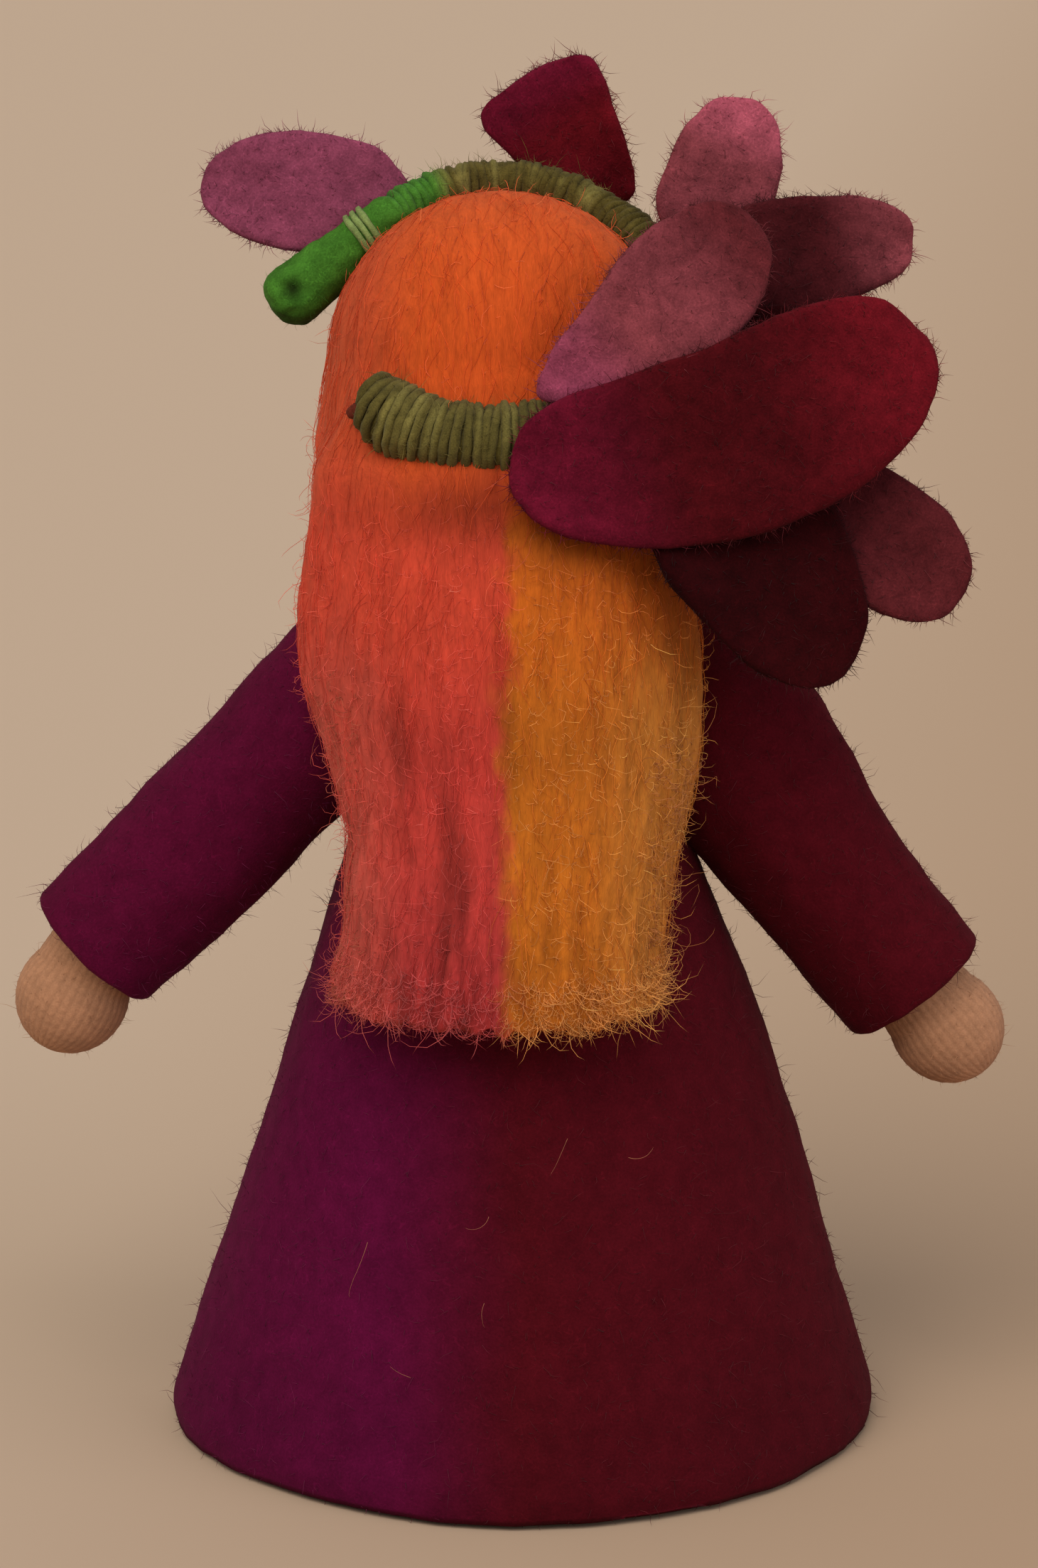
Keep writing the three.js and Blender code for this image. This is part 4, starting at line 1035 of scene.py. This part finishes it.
def add_crown():
    points, parts = wound_band(RING_START + CURL_SPAN, GREEN_START)
    add_piece("wound_band", points, parts, band_tint(points), yarn, "yarn_olive", "crown",
              ["crown_band", "crown_wrap_back", "crown_wrap_front"])
    add_fuzz("band_fuzz", points, parts, lambda at: band_tint(at) * 1.35, 1.9, "crown", "yarn_olive",
             length=0.8, radius=0.024)
    points, parts = wound_band(GREEN_START, GREEN_END)
    add_piece("green_winding", points, parts, band_tint(points), yarn, "felt_green", "crown",
              ["crown_band_green"])

    nub = ring_point(RING_START + 6) - CROWN_AXIS * 1.5 + np.array([1.3, 0, 0])
    circle = crosswise(turn_angles(16), CROWN_AXIS, CROWN_BACK)
    rows = [nub + np.array([math.cos(a) * NUB_LENGTH, 0, 0]) + NUB_RADIUS * math.sin(a) * circle
            for a in np.linspace(0.06, math.pi - 0.06, 14)]
    points, parts = rough_loft(rows, [(0.7, 0.2)])
    add_piece("band_end_tuft", points, parts, NUB, petal_felt, "yarn_olive", "crown")
    add_fuzz("tuft_fuzz", points, parts, NUB * 1.3, 14, "crown", "yarn_olive", length=0.7, radius=0.014)

    root, tip = ring_point(GREEN_END), crown_place(*BUD_TIP)
    way, length = unit(tip - root), np.linalg.norm(tip - root)
    side = unit(np.cross(way, [0, 0, 1.0]))
    up = np.cross(side, way)
    circle = crosswise(turn_angles(56), side, up)
    start_cap = np.radians(np.linspace(-84, -6, 10))
    end_cap = np.radians(np.linspace(6, 85, 16))
    middle = np.linspace(0, 1, 22)
    distances = np.concatenate([BUD_ROOT_RADIUS * np.sin(start_cap), length * middle,
                                length + BUD_TIP_RADIUS * np.sin(end_cap)])
    radii = np.concatenate([BUD_ROOT_RADIUS * np.cos(start_cap), BUD_ROOT_RADIUS + BUD_SWELL * middle,
                            BUD_TIP_RADIUS * np.cos(end_cap)])
    rows = [root + way * s + r * circle for s, r in zip(distances, radii)]
    points, parts = rough_loft(rows, [(2.2, 0.25), (0.8, 0.12)])
    dimple = tip + BUD_TIP_RADIUS * unit([0.1, 0.95, 0.2])
    near = bell(np.linalg.norm(points - dimple, axis=1), 0, 0.9)
    points = points - np.outer(0.7 * near, [0, 1.0, 0])
    # painted shade: the bud is darker on its undersides and in the dimple at its tip
    under = smooth(0.1, 0.9, -point_normals(points, parts)[:, 2])
    tone = 1 + 0.3 * lumps(points, 1.2, 4)
    tint = mix(mix(GREEN, GREEN_SHADE, 0.8 * under), GREEN_SHADE * 0.6, near) * tone[:, None]
    add_piece("felt_bud", points, parts, tint, petal_felt, "felt_green", "crown", ["bud_green"])
    add_fuzz("bud_fuzz", points, parts, GREEN * 1.15, 3.0, "crown", "felt_green", length=0.5, radius=0.014)

    angle = np.linspace(0, 2 * math.pi * 3, 3 * 24)
    at = length * (0.12 + 0.2 * angle / angle[-1])
    reach = BUD_ROOT_RADIUS + BUD_SWELL * at / length + 0.12
    coil = root + way * at[:, None] + reach[:, None] * crosswise(angle, side, up)
    add_piece("bud_wrap", *yarn_tube(coil, 0.3, 6, 2.4), GREEN_LIGHT, yarn, "felt_green", "crown")


add_crown()


# Petals, as cupped leaves along a bowed midrib
# Roots and tips are across, back and up from the ring's middle; ring is the angle of a root on it
PETAL_THICKNESS, PETAL_EDGE, PETAL_LENS = 2.7, 0.3, 0.78
WINDING_CLEAR = 0.45
MAUVE = srgb(116, 53, 60)
MAUVE_DEEP = srgb(84, 30, 34)
MAUVE_SHADE = srgb(62, 18, 22)
MAUVE_PURPLE = srgb(136, 60, 84)
MAUVE_PALE = srgb(156, 74, 90)
MAUVE_COOL = srgb(120, 56, 78)
WINE = srgb(96, 14, 24)
WINE_DARK = srgb(66, 8, 14)
# painted shade: the near-black wine of petals and roots deep in the flower's shadow
WINE_IN_SHADE = srgb(38, 3, 5)
WINE_PURPLE = srgb(92, 14, 36)
PETALS = [
    dict(name="petal_wine_back", root=(-0.7, 17.5, 1.2), tip=(-33.1, 4.6, 2.6), face=(-0.2, 1, 0.15),
         width=15.2, blunt=2.5, flare=0.09, bow=(-1, 2.6, -3.2), cup=0.8,
         tints=(WINE_PURPLE, WINE_DARK, WINE)),
    dict(name="petal_mauve_back", root=(-3, 13, 4.1), tip=(-19.6, -1.1, 9.8), face=(-0.3, 1, 0.4), width=10.4,
         blunt=1.8, flare=0.3, bow=(-1.4, 1.6, -0.3), cup=0.9, tints=(MAUVE_PURPLE, MAUVE, MAUVE_DEEP)),
    # painted shade: the next three petals take the near-black wine tints where the flower's shadow falls
    dict(name="petal_mauve_low", ring=-68, tip=(-36.9, 19.7, -12.6), face=(-0.35, 1, 0.1), width=9.4,
         blunt=2.2, flare=0.4, bow=(0.4, 1.2, -0.6), cup=0.8, tints=(WINE_IN_SHADE, MAUVE_SHADE, MAUVE_DEEP)),
    dict(name="petal_wine_low", ring=-52, tip=(-27.4, 25.7, -14.5), face=(-0.6, 1, 0), width=15,
         blunt=2.3, flare=-0.2, bow=(0.2, 2.4, -0.4), cup=0.7,
         tints=(WINE_IN_SHADE, WINE_IN_SHADE, WINE_IN_SHADE * 1.6)),
    dict(name="petal_wine_side", ring=-81, tip=(-31.5, 7.1, -7.2), face=(-0.2, 1, 0.2), width=11,
         blunt=2.4, flare=0, bow=(-0.2, 0.8, 0.2), cup=0.7, tints=(WINE_IN_SHADE, WINE_IN_SHADE, WINE_DARK)),
    dict(name="petal_mauve_side", ring=-94, tip=(-33.1, -4.6, 2.9), face=(0, 1, 0.2), width=9.4,
         blunt=2.8, flare=-0.3, bow=(0, 0.8, 1.1), cup=0.8, tints=(MAUVE_SHADE, MAUVE_SHADE, MAUVE)),
    dict(name="petal_mauve_high", ring=-108, tip=(-19.4, -16, 7.7), face=(0, 1, 0.1), width=9.0,
         blunt=2.5, flare=-0.1, bow=(-1, 0.6, -0.8), cup=0.8, tints=(MAUVE, MAUVE, MAUVE_PALE)),
    dict(name="petal_wine_front", root=(-9.8, -14.6, -3.4), tip=(-2.3, -20.8, 5.5), face=(0.2, 1, 0.1),
         width=9.3, blunt=3.9, flare=0.33, bow=(0.9, 0.2, 0.9), cup=0.8, tints=(WINE, WINE, WINE_PURPLE)),
    dict(name="petal_mauve_left", ring=-206, tip=(24.5, -13.9, 0.2), face=(0, 1, 0.4), width=10,
         blunt=2.0, flare=-0.12, bow=(0.9, 0.6, -0.5), cup=0.9, tints=(MAUVE_COOL, MAUVE_COOL, MAUVE_COOL)),
]


def petal_ends(petal):
    tip = crown_place(*petal["tip"])
    if "root" in petal:
        return crown_place(*petal["root"]), tip
    on_ring = ring_point(petal["ring"])
    return on_ring + unit(tip - on_ring) * (band_radius(petal["ring"]) + WINDING_CLEAR), tip


def petal_rows(petal):
    """Rings across a petal from its root to its tip, each lens-shaped and lifted at its edges."""
    root, tip = petal_ends(petal)
    face = unit(petal["face"])
    middle = (root + tip) / 2 + 2 * np.array(petal["bow"], float)
    angle = turn_angles(48)
    rows = []
    for s in (1 - np.cos(math.pi * np.linspace(0.004, 0.996, 40))) / 2:
        centre = (1 - s) ** 2 * root + 2 * s * (1 - s) * middle + s * s * tip
        along = unit(2 * (1 - s) * (middle - root) + 2 * s * (tip - middle))
        normal = unit(face - along * (face @ along))
        side = np.cross(normal, along)
        end = abs(2 * s - 1)
        share = (1 - end ** petal["blunt"]) ** (1 / petal["blunt"])
        wide = petal["width"] / 2 * share * (1 + petal["flare"] * (2 * s - 1))
        thick = PETAL_THICKNESS / 2 * math.sin(math.pi * s) ** PETAL_EDGE
        up = np.sign(np.sin(angle)) * np.abs(np.sin(angle)) ** PETAL_LENS
        lift = thick * up + petal["cup"] * smooth(0, 0.7, share) * np.cos(angle) ** 2
        rows.append(centre + np.outer(wide * np.cos(angle), side) + np.outer(lift, normal))
    return rows


def add_petal(petal, seed):
    root, tip = petal_ends(petal)
    chord = tip - root
    points, parts = rough_loft(petal_rows(petal), [(5, 0.3), (2, 0.16), (0.8, 0.07)])
    slot = "felt_wine" if "wine" in petal["name"] else "felt_mauve"

    def tint(at):
        s = np.clip((at - root) @ chord / (chord @ chord), 0, 1)
        near, mid, far = petal["tints"]
        colour = mix(mix(near, mid, smooth(0.05, 0.4, s)), far, smooth(0.55, 0.95, s))
        patch = 1 + 0.22 * lumps(at, 3.2, seed) + 0.12 * lumps(at, 1.1, seed + 20)
        return colour * patch[:, None]

    def rim(roots, away):
        """Nearly all the fuzz that shows stands on the rim."""
        face = unit(petal["face"] - unit(chord) * (np.array(petal["face"]) @ unit(chord)))
        return (np.abs(away @ face) < 0.62) | (rng.random(len(roots)) < 0.17)

    # painted light and shade: upward-facing felt lighter, downward-facing felt darker
    above = 1 + 0.22 * point_normals(points, parts)[:, 2]
    add_piece(f"felt_{petal['name']}", points, parts, tint(points) * above[:, None], petal_felt, slot,
              "crown", [petal["name"]])
    add_fuzz(f"fuzz_{petal['name']}", points, parts, lambda at: tint(at) * 1.25 + 0.004, 11.0, "crown", slot,
             length=0.8, lift=0.8, radius=0.032, keep=rim)


for number, spec in enumerate(PETALS):
    add_petal(spec, number)


# Loose fibres on the dress
dress_strays = [(2.2, 27.0, 26), (2.6, 27.6, 19), (8.5, 28.0, 13), (-4.0, 25.5, 32), (12.0, 21.5, 22),
                (-9.0, 24.0, 30)]
stray_ways = [(0.1, 0.3, -1), (0.4, 0.3, -0.8), (1, 0.3, 0.5), (0.5, 0.3, -1), (0.3, 0.4, -1),
              (-0.8, 0.3, -0.4)]
add_strays("dress_strays", dress_strays, stray_ways, 4.0, STRAY, "torso", "felt_plum", curl=0.12)


# Stuffing, and the wires that stay from the frame
def add_stuffing():
    points, parts = remeshed(node_shape("body_stuffing"), -0.8, 1.4, 4)
    points = roughen(points, outward(points, parts), [(3, 0.3)])
    body_wool = add_piece("body_wool", points, parts, STUFFING, stuffing_wool,
                          "wool_stuffing", "torso", ["body_stuffing"])


add_stuffing()
for name in ("shoulder_wire", "neck_wire", "arm_wire_left", "arm_wire_right", "crown_wire"):
    frame["nodes"][name].data.materials.clear()
    frame["nodes"][name].data.materials.append(wire)

# Floor, light and camera; the floor's half width is in metres
FLOOR_HALF = 20.0
FLOOR_LIGHT, FLOOR_SHADE = srgb(194, 172, 150), srgb(168, 138, 111)
WARM, COOL = (1.0, 0.93, 0.85), (0.92, 0.92, 1.0)


def floor_material():
    """Pale, and slowly darker towards one side as painted shade."""
    material, tree, shader = new_material("pale_floor")
    place = tree.nodes.new("ShaderNodeTexCoord")
    parted = tree.nodes.new("ShaderNodeSeparateXYZ")
    tree.links.new(place.outputs["Object"], parted.inputs["Vector"])
    across = number_node(tree, "MULTIPLY_ADD", parted.outputs["X"], -5.5, 0.4)
    shade = number_node(tree, "MULTIPLY_ADD", parted.outputs["Y"], 0.9, across)
    tree.links.new(ramp_node(tree, shade, FLOOR_LIGHT, FLOOR_SHADE), shader.inputs["Base Color"])
    shader.inputs["Roughness"].default_value = 0.9
    shader.inputs["Specular IOR Level"].default_value = 0.1
    return material


def add_floor():
    corners = np.array([[-1, -1, 0], [1, -1, 0], [1, 1, 0], [-1, 1, 0]]) * FLOOR_HALF / MM
    floor = make_object("floor", corners, [np.array([[0, 1, 2, 3]])])
    floor.data.materials.append(floor_material())


def add_sun(name, towards, strength, spread, colour):
    """Even light from far off; spread is the sun's width in degrees, and softens its shadows."""
    light = bpy.data.lights.new(name, "SUN")
    light.energy, light.angle, light.color = strength, math.radians(spread), colour
    lamp = bpy.data.objects.new(name, light)
    lamp.rotation_euler = (-Vector(towards)).to_track_quat("-Z", "Y").to_euler()
    bpy.context.scene.collection.objects.link(lamp)


add_floor()
add_sun("key", (0.3, 0.6, 0.8), 1.8, 48, WARM)
add_sun("fill", (-0.75, 0.5, 0.35), 0.9, 50, COOL)

world = bpy.data.worlds.new("room")
bpy.context.scene.world = world
world.use_nodes = True
background = world.node_tree.nodes["Background"]
background.inputs["Color"].default_value = (1.0, 0.97, 0.94, 1)
background.inputs["Strength"].default_value = 0.42

camera = bpy.data.objects.new("camera", bpy.data.cameras.new("camera"))
camera.data.sensor_width = SENSOR
camera.data.lens = FOCAL_PIXELS * SENSOR / PICTURE_HEIGHT
camera.location = CAMERA_PLACE
camera.rotation_euler = (math.radians(90 - CAMERA_PITCH), 0, math.pi)
bpy.context.scene.collection.objects.link(camera)
bpy.context.scene.camera = camera
bpy.context.scene.view_settings.view_transform = "Standard"
